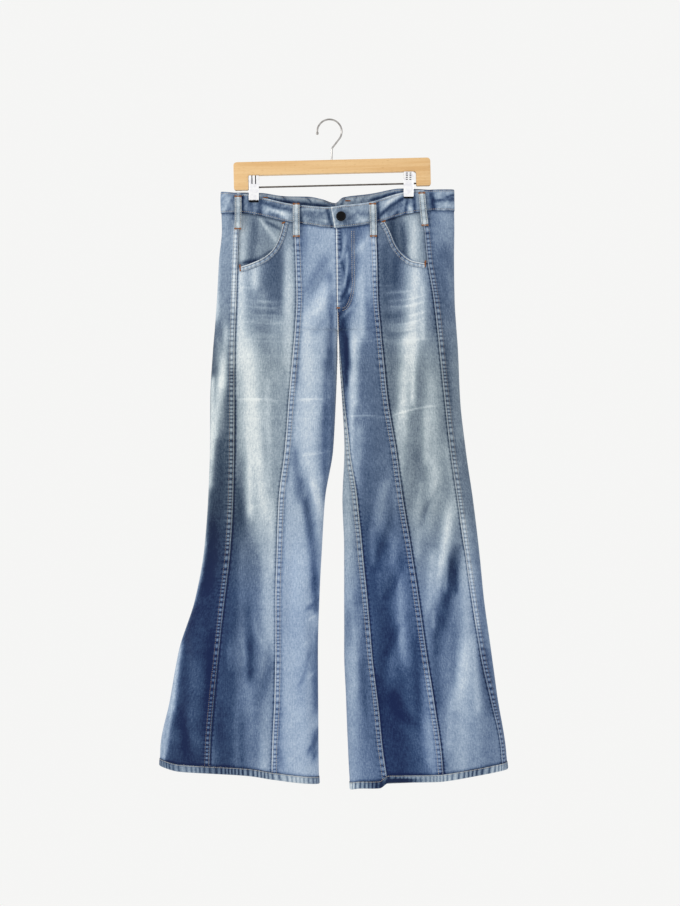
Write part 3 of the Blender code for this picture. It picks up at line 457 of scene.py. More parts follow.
def top_drop(leg, which, x):
    """Drop of the panels' top edge at x."""
    if which == "back":
        return edge_drop(BAND_SEAM_BACK, x) + SEAM_GAP
    seam = edge_drop(BAND_SEAM_FRONT, x) + SEAM_GAP
    if which == "pocket" and leg.sign * x > leg.sign * leg.pocket[-1][0]:
        return max(seam, edge_drop(leg.pocket, x))
    return seam


def row_drop(nominal, top, bottom):
    """Bends the level rows to the panel's curved top and bottom edges."""
    high = np.maximum(0.0, 1 - (nominal - BODY_TOP) / 190)
    low = np.maximum(0.0, 1 - (BODY_BOTTOM - nominal) / 260)
    return nominal + (top - BODY_TOP) * high + (bottom - BODY_BOTTOM) * low


def fly_lift(x, drop):
    """How far the lapped front stands over the fly facing."""
    curve_top = FLY_BOTTOM - 42
    below = np.maximum(0.0, (drop - curve_top) / (FLY_BOTTOM - curve_top))
    half = FLY_WIDTH * np.sqrt(np.maximum(0.0, 1 - below**2))
    across = 1 - ramp(x - CENTRE_X, half, half + 6)
    return FLY_LIFT * across * (1 - ramp(drop, FLY_BOTTOM, FLY_BOTTOM + 8))


# %% [markdown]
# ## Creases
#
# The solids have the largest folds. Worn denim also keeps many small ones: whiskers across the hips,
# lines where it lay folded, drag lines at the crotch, and pull marks beside the seams. Each is drawn as a
# soft line with a width and a height, uneven in length and depth, and none is copied.

# %% Creases in front
# A crease runs from x0, drop0 to x1, drop1, bows out sideways, and is a trough where its height is
# negative. All are in millimetres.
Crease = namedtuple("Crease", "x0 drop0 x1 drop1 bow width height")
CREASES_FRONT = (
    # whiskers across the right hip
    (82, 338, 152, 331, -5, 3.0, 0.9), (86, 352, 150, 346, -4, 3.4, -0.8),
    (84, 371, 156, 361, -7, 3.2, 1.0), (90, 384, 150, 376, -5, 3.5, -0.8),
    (88, 398, 168, 388, -8, 3.0, 0.8), (84, 313, 140, 312, 3, 3.2, 0.7),
    # whiskers across the left hip
    (-150, 331, -84, 336, 5, 3.2, 0.8), (-146, 350, -82, 352, 4, 3.4, -0.8),
    (-158, 364, -90, 368, 6, 3.2, 0.9), (-150, 392, -92, 394, 5, 3.6, 0.7),
    # drag lines from the crotch
    (-8, 268, -44, 322, 4, 6, -2.0), (0, 290, -34, 356, 3, 6, 1.8), (-14, 356, -40, 388, 3, 5, -1.2),
    (-3, 330, -9, 470, 2, 5, -1.6), (16, 352, 30, 450, -3, 6, -2.4), (30, 330, 34, 470, 3, 5, 1.6),
    (46, 236, 38, 292, 3, 6, -1.3), (66, 206, 30, 246, 4, 5, 1.2),
    # the line where the legs lay folded over a bar
    (-172, 503, -96, 507, 2, 1.7, 0.7), (-70, 505, -12, 502, 1, 1.8, 0.7),
    (-58, 600, 2, 588, -2, 1.7, 0.6), (30, 531, 92, 534, 1, 1.8, 0.7), (98, 534, 196, 512, 4, 1.8, 0.8),
    # the left leg
    (-8, 500, -20, 640, -4, 8, -2.2), (-56, 642, -36, 760, 4, 8, -2.6), (-40, 640, -22, 720, 3, 6, 1.6),
    (-30, 742, -40, 860, 5, 6, -1.8), (-30, 868, -24, 884, 1, 3, -1.6),
    (-28, 1108, -34, 1150, 2, 4, -1.8), (-40, 900, -30, 1040, -3, 5, -1.2),
    (-132, 540, -118, 640, 5, 6, -1.0), (-176, 640, -158, 760, 4, 7, -1.6),
    (-142, 880, -126, 940, -4, 5, 1.4), (-112, 930, -128, 1020, 4, 6, -1.8),
    (-170, 905, -150, 990, 3, 6, 1.2), (-98, 1120, -92, 1172, 3, 5, -1.5),
    (-212, 720, -236, 860, 5, 9, -2.4), (-200, 395, -214, 560, 5, 7, 1.8),
    (-206, 360, -196, 430, 3, 5, -1.4), (-214, 940, -206, 1130, -4, 9, -2.2),
    (-244, 960, -262, 1120, 6, 12, 2.2), (-280, 1040, -262, 1150, 5, 9, -1.8),
    # the right leg
    (112, 690, 70, 815, 6, 8, -3.0), (124, 770, 94, 866, 4, 8, -2.6), (96, 640, 78, 740, -4, 8, 1.8),
    (116, 800, 122, 960, 4, 9, 2.4), (134, 880, 100, 966, -4, 8, -2.2), (150, 590, 140, 700, 4, 8, -1.8),
    (176, 600, 168, 760, 5, 8, 1.8), (196, 650, 150, 742, -4, 6, -1.6),
    (228, 762, 198, 880, -4, 9, -3.4), (210, 700, 188, 824, 3, 8, 1.8), (184, 860, 188, 960, 3, 8, -2.4),
    (236, 930, 214, 1060, 6, 10, 1.8), (270, 940, 290, 1080, -5, 9, -2.0),
    (60, 880, 46, 960, 3, 6, -1.6), (52, 960, 62, 1080, -3, 6, -1.6), (36, 870, 40, 1040, 3, 6, 1.2),
    (104, 1020, 150, 1084, -8, 10, -2.0), (160, 1060, 172, 1160, 4, 9, 1.8),
    (206, 380, 214, 520, -3, 7, -1.6), (196, 250, 214, 330, 3, 6, 1.4),
    (200, 1140, 188, 1176, 3, 6, -1.4),
)

# %% Creases behind
CREASES_BACK = (
    # drag lines under the seat
    (20, 330, 110, 372, 12, 9, -2.6), (26, 356, 120, 404, 12, 9, 2.2), (-8, 334, -96, 378, -12, 9, -2.4),
    (-14, 362, -116, 410, -12, 9, 2.0), (44, 392, 130, 430, 10, 7, -1.6),
    (-36, 398, -132, 436, -10, 7, -1.6),
    # crumples behind the knees
    (-190, 600, -60, 618, 10, 7, -2.0), (-176, 622, -50, 636, 9, 7, 1.8),
    (-196, 646, -70, 664, 12, 8, -2.2), (-182, 676, -78, 690, 8, 7, 1.4),
    (60, 612, 196, 598, -10, 7, -2.0), (52, 636, 190, 624, -9, 7, 1.8),
    (70, 668, 206, 652, -12, 8, -2.2), (84, 694, 188, 684, -8, 7, 1.4),
    # the line where the legs lay folded over a bar
    (-200, 504, -24, 508, 2, 1.8, 0.7), (30, 533, 206, 520, 3, 1.8, 0.7),
    # long soft folds down to the hem
    (-150, 760, -172, 1010, 6, 12, -2.4), (-210, 820, -250, 1080, 8, 12, 2.4),
    (-90, 800, -84, 1060, 4, 9, 1.8), (120, 760, 132, 1000, -6, 12, 2.2),
    (190, 800, 214, 1080, -6, 12, -2.4), (66, 820, 70, 1060, 4, 9, -1.8),
    (-160, 220, -150, 330, 5, 9, -1.6), (150, 220, 160, 330, 5, 9, -1.6),
)


def soft_line(line, x, drop, round_ends):
    """1 along a hand-drawn line, falling off beside it and towards its ends."""
    run_x, run_drop = line.x1 - line.x0, line.drop1 - line.drop0
    length = math.hypot(run_x, run_drop)
    along = ((x - line.x0) * run_x + (drop - line.drop0) * run_drop) / length**2
    within = np.clip(along, 0, 1)
    aside = ((x - line.x0) * run_drop - (drop - line.drop0) * run_x) / length
    aside = aside - line.bow * 4 * within * (1 - within)
    beside = np.exp(-((aside / line.width) ** 2))
    if round_ends:
        past = (along - within) * length / (2.2 * line.width)
        return beside * np.exp(-(past**2))
    return beside * np.sin(math.pi * within) ** 0.7


def sum_lines(creases, x, drop):
    """The heights of many creases, added up."""
    return sum(crease.height * soft_line(crease, x, drop, False) for crease in map(Crease._make, creases))


def crease_height(x, drop, in_front):
    fade = ramp(drop, BODY_TOP + 6, BODY_TOP + 40)  # the waistband's seam holds the cloth flat
    return np.where(in_front, sum_lines(CREASES_FRONT, x, drop), sum_lines(CREASES_BACK, x, drop)) * fade


# %% [markdown]
# ## Fading, with painted light and shade
#
# Indigo sits on the outside of the yarn, so denim pales wherever it rubs: thighs, fold ridges, seam
# ridges and edges. Hollows stay deep. The cloth is toned with airbrush strokes, each a soft line with the
# tone that it leaves behind, from 0, unworn indigo, to 1, almost white. The strokes also hold painted light
# and shade: dark ones where shade falls in hollows and folds and beside raised parts, and pale ones where
# light catches. Every panel has its own strokes, because panels fade differently and meet at a crisp seam.

# %% Strokes on the left leg
# A stroke runs from x0, drop0 to x1, drop1. Strength is how much of the tone below it is covered.
Stroke = namedtuple("Stroke", "x0 drop0 x1 drop1 width tone strength bow", defaults=(0.87, 0))
BASE_TONE = {
    "front_side_left": 0.59, "front_centre_left": 0.72, "back_left": 0.20,
    "front_side_right": 0.48, "front_centre_right": 0.38, "back_right": 0.42,
}
STROKES = {
    "front_side_left": (
        (-108, 240, -118, 345, 21, 0.28, 0.95, 4), (-140, 325, -128, 400, 16, 0.48, 0.7),
        (-166, 270, -164, 430, 11, 0.92), (-152, 430, -140, 560, 19, 0.95, 0.95),
        (-140, 560, -122, 700, 16, 0.92, 0.95), (-80, 245, -86, 430, 9, 0.80),
        (-103, 370, -106, 640, 14, 0.62), (-168, 640, -176, 760, 15, 0.36),
        (-182, 720, -198, 1160, 24, 0.12, 0.95), (-152, 780, -152, 900, 15, 0.33),
        (-124, 740, -108, 930, 15, 0.76), (-150, 880, -148, 940, 9, 0.20),
        (-172, 930, -166, 1000, 9, 0.42), (-96, 860, -99, 960, 9, 0.74, 0.6),
        (-108, 985, -124, 1024, 9, 0.35), (-160, 1050, -148, 1150, 16, 0.38, 0.7),
        (-128, 1110, -122, 1180, 11, 0.70), (-137, 790, -136, 1130, 10, 0.33, 0.65),
        (-140, 262, -140, 290, 9, 0.92), (-124, 322, -122, 352, 8, 0.60, 0.7),
        (-149, 570, -148, 700, 8, 0.92), (-117, 480, -116, 650, 6, 0.82),
        (-111, 700, -110, 800, 6, 0.84), (-97, 245, -97, 330, 8, 0.25),
        (-76, 300, -78, 470, 6, 0.84, 0.7), (-176, 510, -176, 600, 5, 0.30),
        (-178, 780, -178, 920, 9, 0.18, 0.7), (-149, 940, -148, 990, 8, 0.06, 0.95),
        (-185, 950, -184, 985, 5, 0.45, 0.7), (-184, 1000, -186, 1150, 12, 0.14),
        (-164, 1070, -162, 1160, 8, 0.24), (-106, 1000, -107, 1172, 6, 0.46, 0.7),
    ),
    "front_centre_left": (
        (-30, 200, -30, 250, 30, 0.67), (-18, 258, -44, 300, 9, 0.47), (-18, 302, -38, 346, 9, 0.88),
        (-2, 325, -7, 400, 7, 0.36), (-48, 365, -42, 640, 17, 0.87),
        # The first stroke below paints shade along the inner edge, beside the gap between the legs.
        (-4, 420, -4, 620, 8, 0.32, 0.87, 3), (-68, 600, -62, 668, 8, 0.42),
        (-53, 655, -44, 728, 8, 0.30), (-42, 735, -32, 830, 8, 0.36), (-66, 735, -62, 870, 15, 0.76),
        (-28, 930, -30, 1050, 8, 0.32), (-70, 980, -60, 1170, 18, 0.80), (-32, 1108, -34, 1136, 6, 0.28),
        (-54, 196, -54, 228, 9, 0.44), (-52, 250, -50, 320, 9, 0.60, 0.7), (-5, 285, -4, 340, 6, 0.48),
        (-9, 362, -8, 400, 5, 0.64), (-12, 440, -14, 670, 7, 0.38), (-50, 640, -50, 670, 5, 0.70),
        (-32, 825, -31, 875, 6, 0.28), (-36, 895, -36, 925, 4, 0.72, 0.7),
        (-54, 940, -54, 1040, 10, 0.64, 0.7), (-92, 1000, -96, 1140, 7, 0.58, 0.7),
        (-60, 880, -66, 1080, 26, 0.66, 0.5), (-24, 860, -42, 874, 4, 0.30, 0.7),
        (-44, 960, -58, 1010, 4, 0.44, 0.7, 2), (-26, 1096, -42, 1130, 4, 0.34, 0.87, 2),
        # the princess seam's band
        (-63, 200, -60, 330, 6, 0.50), (-61, 345, -67, 470, 6, 0.50), (-74, 500, -84, 640, 6, 0.56),
        (-90, 680, -98, 860, 6, 0.58), (-98, 880, -99, 1060, 6, 0.52), (-100, 1070, -104, 1170, 6, 0.50),
    ),
    "back_left": (
        (-222, 850, -250, 1150, 40, 0.04), (-193, 170, -193, 245, 17, 0.68),
        (-195, 250, -194, 350, 14, 0.56), (-209, 230, -209, 355, 6, 0.90),
        (-205, 372, -208, 425, 8, 0.44), (-192, 385, -198, 470, 9, 0.88),
        (-199, 470, -212, 560, 9, 0.90), (-215, 565, -222, 650, 7, 0.88),
        (-190, 520, -196, 700, 11, 0.25), (-214, 720, -226, 860, 13, 0.04),
        (-240, 880, -262, 960, 18, 0.08), (-212, 860, -218, 1150, 14, 0.07),
        (-258, 980, -276, 1080, 22, 0.11), (-245, 1115, -290, 1105, 16, 0.25, 0.7),
        (-226, 650, -233, 760, 5, 0.86), (-233, 765, -252, 862, 5, 0.86, 0.87, 3),
        (-253, 866, -280, 955, 5, 0.84), (-281, 960, -297, 1050, 5, 0.84),
        (-298, 1056, -313, 1150, 5, 0.80), (-216, 470, -219, 600, 5, 0.94),
        (-199, 500, -200, 545, 7, 0.64, 0.6), (-200, 600, -206, 860, 8, 0.12),
        (-245, 880, -262, 930, 9, 0.02), (-216, 930, -220, 1140, 9, 0.0, 0.95),
        (-240, 930, -244, 990, 9, 0.10), (-261, 1040, -262, 1110, 10, 0.04),
        (-277, 950, -288, 1050, 6, 0.82, 0.95), (-290, 1056, -305, 1150, 5, 0.80),
        # the side seam's band
        (-176, 190, -178, 335, 6, 0.88, 0.95), (-179, 345, -180, 440, 6, 0.70),
        (-181, 470, -182, 560, 6, 0.42), (-182, 590, -187, 750, 6, 0.34),
        (-190, 780, -208, 950, 6, 0.24), (-210, 960, -226, 1160, 6, 0.24),
    ),
}

# %% Strokes on the right leg
STROKES["front_side_right"] = (
    (95, 240, 97, 345, 13, 0.24, 0.95), (116, 262, 114, 345, 13, 0.31),
    (148, 262, 142, 400, 15, 0.92, 0.95), (134, 405, 122, 560, 12, 0.92, 0.95),
    (122, 565, 119, 640, 9, 0.70), (100, 380, 106, 500, 9, 0.38), (168, 330, 170, 450, 9, 0.55),
    (184, 305, 184, 370, 8, 0.30), (152, 470, 144, 610, 11, 0.44), (176, 480, 186, 660, 13, 0.73),
    (206, 600, 222, 690, 10, 0.68), (146, 640, 150, 740, 12, 0.62), (208, 705, 190, 830, 12, 0.82),
    (214, 800, 198, 902, 11, 0.18, 0.95), (178, 790, 172, 872, 9, 0.74), (152, 760, 152, 830, 10, 0.44),
    (182, 905, 186, 1050, 11, 0.26), (198, 930, 202, 1000, 9, 0.43), (240, 790, 238, 1000, 13, 0.77),
    (232, 1010, 232, 1150, 20, 0.73), (264, 960, 290, 1050, 9, 0.36),
    (196, 1080, 202, 1165, 11, 0.48, 0.7), (112, 255, 110, 290, 8, 0.18), (160, 305, 160, 385, 6, 0.90),
    (142, 400, 142, 500, 7, 0.96), (169, 530, 168, 600, 8, 0.80), (156, 660, 150, 720, 6, 0.68, 0.7),
    (153, 725, 152, 775, 7, 0.68), (130, 800, 132, 870, 5, 0.62), (202, 800, 201, 835, 6, 0.74),
    (220, 812, 220, 842, 5, 0.12), (180, 875, 180, 905, 5, 0.66), (215, 915, 214, 1000, 7, 0.40),
    (250, 940, 258, 1050, 8, 0.76), (210, 1050, 208, 1115, 7, 0.68), (175, 1130, 175, 1160, 6, 0.64),
    (256, 1100, 256, 1165, 9, 0.64, 0.7),
)
STROKES["front_centre_right"] = (
    # Dark strokes at x 16 to 24 below drop 350 paint shade beside the gap between the legs, and the dark ones
    # from x 84 to 122 below drop 830 paint shade in the fold's trough.
    (18, 205, 18, 300, 9, 0.46), (27, 240, 24, 335, 6, 0.20), (52, 232, 41, 400, 10, 0.73),
    (66, 212, 66, 318, 10, 0.74), (60, 340, 68, 440, 11, 0.37), (41, 400, 38, 505, 8, 0.82),
    (18, 350, 22, 470, 7, 0.12), (47, 560, 44, 640, 9, 0.66), (70, 440, 74, 640, 18, 0.34),
    (62, 640, 62, 790, 13, 0.26), (98, 655, 84, 730, 9, 0.48), (86, 830, 122, 1150, 44, 0.13, 0.95),
    (106, 750, 126, 960, 11, 0.53), (170, 1010, 182, 1165, 11, 0.56), (92, 790, 96, 835, 8, 0.38, 0.7),
    (95, 1000, 98, 1030, 8, 0.31, 0.7), (29, 300, 28, 345, 6, 0.26), (52, 290, 52, 380, 7, 0.80),
    (34, 470, 33, 640, 6, 0.82), (16, 380, 17, 560, 5, 0.18), (24, 395, 24, 470, 3, 0.0, 0.95),
    (112, 670, 112, 715, 6, 0.52), (70, 740, 72, 790, 6, 0.44), (82, 800, 84, 850, 6, 0.34, 0.7),
    (112, 830, 112, 880, 7, 0.26), (94, 905, 94, 970, 9, 0.10), (108, 960, 104, 1010, 9, 0.38),
    (148, 940, 152, 1080, 8, 0.10), (84, 1010, 92, 1180, 12, 0.06, 0.95),
    (106, 1040, 118, 1180, 18, 0.05, 0.95),
    # crumples beside the fly, painted as light and shade
    (13, 204, 15, 238, 3, 0.18), (21, 214, 13, 258, 3, 0.68, 0.87, 2), (16, 258, 25, 288, 3, 0.08),
    (25, 244, 20, 298, 3, 0.70, 0.87, 2), (30, 284, 14, 322, 4, 0.04, 0.87, 3),
    (13, 298, 11, 334, 2, 0.58), (31, 306, 19, 340, 3, 0.66, 0.87, 2),
    (28, 320, 10, 352, 4, 0.02, 0.87, 2), (34, 210, 33, 300, 2, 0.28, 0.7),
    (20, 352, 40, 334, 3, 0.56, 0.7, 2),
    # the princess seam's band
    (73, 200, 75, 262, 6, 0.72), (80, 365, 84, 410, 6, 0.34, 0.7),
)
STROKES["back_right"] = (
    (208, 240, 222, 560, 14, 0.52, 0.7), (203, 170, 205, 215, 18, 0.60), (200, 250, 204, 330, 14, 0.30),
    (225, 380, 232, 560, 6, 0.52), (262, 700, 286, 940, 8, 0.56), (300, 960, 314, 1080, 7, 0.58),
    (24, 560, 26, 860, 14, 0.70), (28, 860, 36, 1190, 16, 0.68), (44, 860, 46, 902, 8, 0.38),
    (54, 965, 62, 1100, 8, 0.34), (29, 890, 29, 925, 8, 0.48), (50, 880, 52, 935, 5, 0.56, 0.7),
    # the side seam's band, and at the end two strokes of painted shade beside the inseam
    (222, 620, 230, 690, 7, 0.60), (235, 720, 246, 805, 8, 0.76), (249, 820, 258, 900, 8, 0.78),
    (262, 930, 274, 1010, 6, 0.44), (70, 1090, 80, 1185, 7, 0.34), (79, 1060, 90, 1185, 5, 0.34),
)

# %% Lines rubbed white
# Along sharp creases the blue is worn off in thin lines. Height here is the tone that a line adds.
WORN_LINES = (
    # whiskers at the right hip
    (86, 311, 152, 304, -3, 1.8, 0.10), (88, 326, 168, 314, -4, 1.8, 0.12),
    (88, 334, 172, 324, -6, 2.0, 0.15), (118, 354, 174, 341, -3, 2.2, 0.14),
    (88, 366, 172, 351, -8, 1.8, 0.14), (94, 380, 170, 366, -5, 2.0, 0.12),
    (84, 298, 112, 297, -1, 1.6, 0.10),
    # whiskers at the left hip
    (-166, 321, -81, 326, -3, 1.8, 0.12), (-160, 334, -84, 337, -3, 1.8, 0.14),
    (-158, 347, -92, 351, -3, 2.0, 0.10), (-150, 362, -84, 365, -3, 2.0, 0.12),
    (-170, 300, -132, 303, -1, 1.8, 0.10),
    # where the legs lay folded over a bar
    (-172, 396, -12, 398, -2, 1.4, 0.10), (12, 398, 204, 391, -2, 1.4, 0.11),
    (-172, 502, -86, 505, 2, 1.2, 0.13), (-80, 504, -8, 501, 1, 1.2, 0.11),
    (-63, 603, 5, 592, -2, 1.3, 0.15), (24, 531, 98, 534, 1, 1.3, 0.15),
    (96, 535, 202, 511, 4, 1.3, 0.17), (-152, 700, -128, 690, 1, 1.4, 0.10),
    # the crumpled inner edge of the left leg
    (-26, 884, -52, 900, 2, 2.4, 0.14), (-30, 986, -46, 1002, 1, 2.4, 0.14),
    (-28, 1118, -40, 1146, 1, 2.6, 0.16), (-40, 930, -60, 948, 1, 2.6, 0.10),
)


# %% Strokes behind, on the waistband and in the pockets
STROKES_BEHIND = {
    "back_left": (
        (-100, 230, -96, 330, 52, 0.72), (-120, 380, -116, 520, 30, 0.56),
        (-196, 420, -208, 700, 20, 0.22), (-70, 610, -170, 610, 22, 0.46, 0.7),
        (-30, 440, -36, 700, 14, 0.30), (-150, 720, -190, 980, 34, 0.44, 0.7),
        (-100, 800, -90, 1150, 18, 0.34, 0.7), (-230, 900, -280, 1130, 26, 0.52, 0.7),
        (-60, 980, -52, 1170, 14, 0.56, 0.7), (-24, 200, -20, 340, 16, 0.50, 0.7),
    ),
    "back_right": (
        (108, 230, 104, 330, 52, 0.70), (122, 380, 124, 520, 30, 0.60), (206, 420, 222, 700, 18, 0.30),
        (80, 610, 186, 606, 22, 0.50, 0.7), (44, 440, 50, 700, 14, 0.34),
        (160, 720, 196, 980, 34, 0.54, 0.7), (104, 800, 110, 1150, 18, 0.36, 0.7),
        (236, 900, 280, 1130, 26, 0.60, 0.7), (60, 980, 66, 1180, 14, 0.58, 0.7),
        (34, 200, 30, 340, 16, 0.52, 0.7),
    ),
}
BASE_TONE.update(waistband=0.52, pocket_facing=0.58, pocket_edge=0.60, fly_facing=0.34, loop=0.80)
STROKES["pocket_edge"] = (
    (-95, 194, -106, 232, 12, 0.34), (-110, 238, -132, 254, 10, 0.46),
    (100, 205, 122, 246, 12, 0.30, 0.95, 3), (92, 188, 94, 196, 8, 0.60), (142, 260, 166, 264, 10, 0.72),
    (-164, 268, -146, 262, 8, 0.76),
)
# On the front waistband the narrow dark strokes beside each loop's right edge, right of the left clip and
# left of the lap are painted shadows, and the pale and dark strokes along its creases are painted light and
# shade.
STROKES["waistband_front"] = (
    (-194, 135, -194, 165, 8, 0.78), (-163, 138, -163, 182, 3, 0.0, 0.95),
    (-150, 146, -150, 165, 6, 0.36, 0.7), (-130, 142, -131, 168, 5, 0.04),
    (-158, 168, -136, 170, 3, 0.30, 0.7), (-186, 160, -178, 140, 4, 0.30, 0.7, 2),
    (-118, 160, -76, 176, 6, 0.74, 0.87, 3), (-122, 149, -76, 161, 3, 0.22, 0.87, -3),
    (-112, 170, -92, 178, 3, 0.34, 0.7, 2), (-58, 156, -57, 190, 3, 0.02),
    (-50, 168, -12, 170, 5, 0.40, 0.87, 2), (-44, 178, -14, 182, 3, 0.70, 0.7, 1),
    (-52, 162, -20, 163, 3, 0.72, 0.7), (-10, 164, -2, 192, 3, 0.06), (4, 162, 6, 190, 4, 0.72, 0.6),
    (24, 172, 34, 184, 5, 0.30), (14, 184, 28, 186, 3, 0.22, 0.7), (40, 160, 62, 158, 4, 0.72),
    (34, 172, 62, 170, 3, 0.34, 0.7, 2), (40, 184, 64, 181, 4, 0.74, 0.7),
    (80, 150, 82, 186, 3, 0.0, 0.95), (92, 150, 122, 134, 5, 0.78),
    (86, 172, 124, 141, 3, 0.04, 0.95, 2), (98, 172, 122, 156, 4, 0.62), (104, 178, 116, 166, 3, 0.20),
    (133, 146, 130, 166, 3, 0.08), (145, 136, 147, 160, 3, 0.06), (139, 160, 142, 172, 4, 0.86),
    (153, 136, 153, 164, 3, 0.66, 0.7), (171, 134, 173, 168, 4, 0.0, 0.95),
)
STROKES["waistband_back"] = (
    (-194, 135, -194, 165, 8, 0.72), (-186, 160, -178, 140, 4, 0.30, 0.7, 2),
    (-150, 134, -30, 140, 4, 0.72), (20, 144, 110, 128, 6, 0.68),
    # inside, above the front's edge, where the dark strokes are painted shadow under the front's top edge
    (-104, 135, -72, 137, 3, 0.74), (-64, 138, -22, 142, 3, 0.72), (-116, 140, -80, 145, 3, 0.0, 0.95),
    (-80, 145, -12, 152, 3, 0.0, 0.95), (-92, 134, -86, 141, 2, 0.24), (-48, 136, -40, 144, 2, 0.26),
    (-8, 146, 8, 152, 3, 0.30), (-66, 133, -60, 141, 2, 0.66), (20, 141, 60, 136, 4, 0.78),
    (24, 150, 62, 144, 3, 0.60, 0.87, 1), (16, 148, 20, 138, 2, 0.16), (36, 146, 42, 136, 2, 0.24, 0.7),
    (52, 144, 58, 132, 2, 0.30, 0.7), (72, 140, 124, 126, 3, 0.0, 0.95), (66, 133, 118, 124, 3, 0.66),
    # outside, beyond the right side seam
    (178, 130, 180, 165, 5, 0.14), (188, 134, 196, 158, 6, 0.74, 0.87, 2),
    (184, 146, 216, 142, 3, 0.10, 0.87, 1), (200, 132, 216, 132, 4, 0.66), (206, 138, 217, 134, 2, 0.06),
    (200, 154, 216, 154, 5, 0.68),
)
# In the pocket facings the dark strokes are painted shade: in the fold, at the mouth's corner, under the
# turned edge and under the right pocket's edge. The pale strip at the left is painted light on the fold.
STROKES["pocket_facing"] = (
    (-164, 188, -162, 254, 8, 0.84), (-141, 184, -148, 248, 9, 0.34), (-123, 196, -124, 236, 9, 0.44),
    (-127, 183, -106, 212, 4, 0.78), (-117, 184, -100, 194, 3, 0.16), (-142, 253, -112, 236, 3, 0.22),
    (-157, 256, -141, 254, 4, 0.0, 0.95), (-168, 260, -164, 262, 4, 0.40, 0.7),
    (108, 188, 114, 236, 12, 0.10), (124, 196, 128, 236, 7, 0.20), (146, 188, 146, 254, 11, 0.86),
    (167, 180, 168, 250, 6, 0.34),
)


def stroke_tone(base, strokes, x, drop):
    tone = np.full_like(x, base)
    for stroke in (Stroke(*numbers) for numbers in strokes):
        cover = stroke.strength * soft_line(stroke, x, drop, round_ends=True)
        tone = tone * (1 - cover) + stroke.tone * cover
    return tone


# %% [markdown]
# ## Making a cloth piece
#
# Each piece is a thin closed shell between two grids of points, one for the outer face and one for the
# inner. A grid beats a sculpted or simulated mesh here, because its rows and columns lie along the grain
# and the seams. The shell carries what its material needs: a UV map in metres for the weave, and one value
# a point for tone, for the cast of the blue, and for the rope-like ripple beside each seam.

# %% The shell maker
Marks = namedtuple("Marks", "tone cast seam ripple")
MATERIALS = {}
CLOTH = {}  # each piece's outer points and normals, which its sewing follows


def grid_normals(points, outward):
    """Unit normals of a grid of points, on the side that outward points to."""
    across = np.gradient(points, axis=1)
    along = np.gradient(points, axis=0)
    normals = np.cross(along, across)
    normals /= np.maximum(np.linalg.norm(normals, axis=2, keepdims=True), 1e-9)
    if (normals * outward).sum() < 0:
        normals = -normals
    return normals


def shell_faces(rows, columns, ring):
    """Quads of the outer face, of the inner one, and of the rim that joins them."""
    outer = np.arange(rows * columns).reshape(rows, columns)
    if ring:
        outer = np.concatenate([outer, outer[:, :1]], axis=1)
    inner = outer + rows * columns

    def quads(a, b, c, d):
        return np.stack([a, b, c, d], axis=-1).reshape(-1, 4)

    front = quads(outer[:-1, :-1], outer[:-1, 1:], outer[1:, 1:], outer[1:, :-1])
    back = quads(inner[:-1, :-1], inner[1:, :-1], inner[1:, 1:], inner[:-1, 1:])
    rims = [
        quads(outer[0, :-1], inner[0, :-1], inner[0, 1:], outer[0, 1:]),
        quads(outer[-1, :-1], outer[-1, 1:], inner[-1, 1:], inner[-1, :-1]),
    ]
    if not ring:
        rims.append(quads(outer[:-1, 0], outer[1:, 0], inner[1:, 0], inner[:-1, 0]))
        rims.append(quads(outer[:-1, -1], inner[:-1, -1], inner[1:, -1], outer[1:, -1]))
    return front, np.concatenate(rims), back


def make_shell(name, outer, inner, marks, outward, finishes, ring=False):
    """A closed shell from two grids of points in millimetres."""
    rows, columns = outer.shape[:2]
    front, rims, back = shell_faces(rows, columns, ring)
    faces = np.concatenate([front, rims, back])
    a, b, d = (outer.reshape(-1, 3)[front[:, k]] for k in (0, 1, 3))
    if (np.cross(b - a, d - a) * outward.reshape(-1, 3)[front[:, 0]]).sum() < 0:
        faces = faces[:, ::-1]
    points = np.concatenate([outer.reshape(-1, 3), inner.reshape(-1, 3)]) * MM
    mesh = bpy.data.meshes.new(name)
    mesh.from_pydata(points.tolist(), [], faces.tolist())
    across = np.linalg.norm(np.diff(outer, axis=1), axis=2)
    width = np.concatenate([np.zeros((rows, 1)), np.cumsum(across, axis=1)], axis=1)
    width -= width[:, columns // 2 : columns // 2 + 1]
    flat = np.stack([width, -outer[:, :, 2]], axis=2).reshape(-1, 2) * MM
    flat = np.concatenate([flat, flat])
    corners = np.empty(len(mesh.loops), np.int32)
    mesh.loops.foreach_get("vertex_index", corners)
    mesh.uv_layers.new(name="cloth").data.foreach_set("uv", flat[corners].ravel().astype(np.float32))
    for mark, values in marks._asdict().items():
        both = np.concatenate([values.ravel(), values.ravel()])
        mesh.attributes.new(mark, "FLOAT", "POINT").data.foreach_set("value", both.astype(np.float32))
    inside = np.zeros(len(faces), np.int32)
    inside[len(front) + len(rims) :] = 1
    for finish in finishes:
        mesh.materials.append(MATERIALS[finish])
    mesh.polygons.foreach_set("material_index", inside)
    mesh.shade_smooth()
    mesh.set_sharp_from_angle(angle=math.radians(55))
    mesh.validate()
    piece = bpy.data.objects.new(name, mesh)
    bpy.context.scene.collection.objects.link(piece)
    area = sum(polygon.area for polygon in mesh.polygons) / 2
    print(f"{name}: {2 * len(faces)} triangles, {area:.4f} m2 of cloth")
    return piece


# %% Points and piece records
Sheet = namedtuple("Sheet", "outer outer_normals inner inner_normals")


def raised(grid, drops, height):
    """Points in millimetres that stand off the plain form by a height."""
    return np.stack([grid[0] + grid[2] * height, grid[1] + grid[3] * height, -drops], axis=2)


def softness(x, drop):
    """Slight unevenness that any hanging cloth has."""
    return 0.22 * np.sin(x / 17 + 1.3 * np.sin(drop / 47)) * np.sin(drop / 39 + 0.9 * np.sin(x / 29))


def relief(x, y, drop):
    """Creases and unevenness, on the front and on the back."""
    facing = 1 - ramp(y, -4, 4)
    return crease_height(x, drop, facing > 0.5) + softness(x, drop), facing
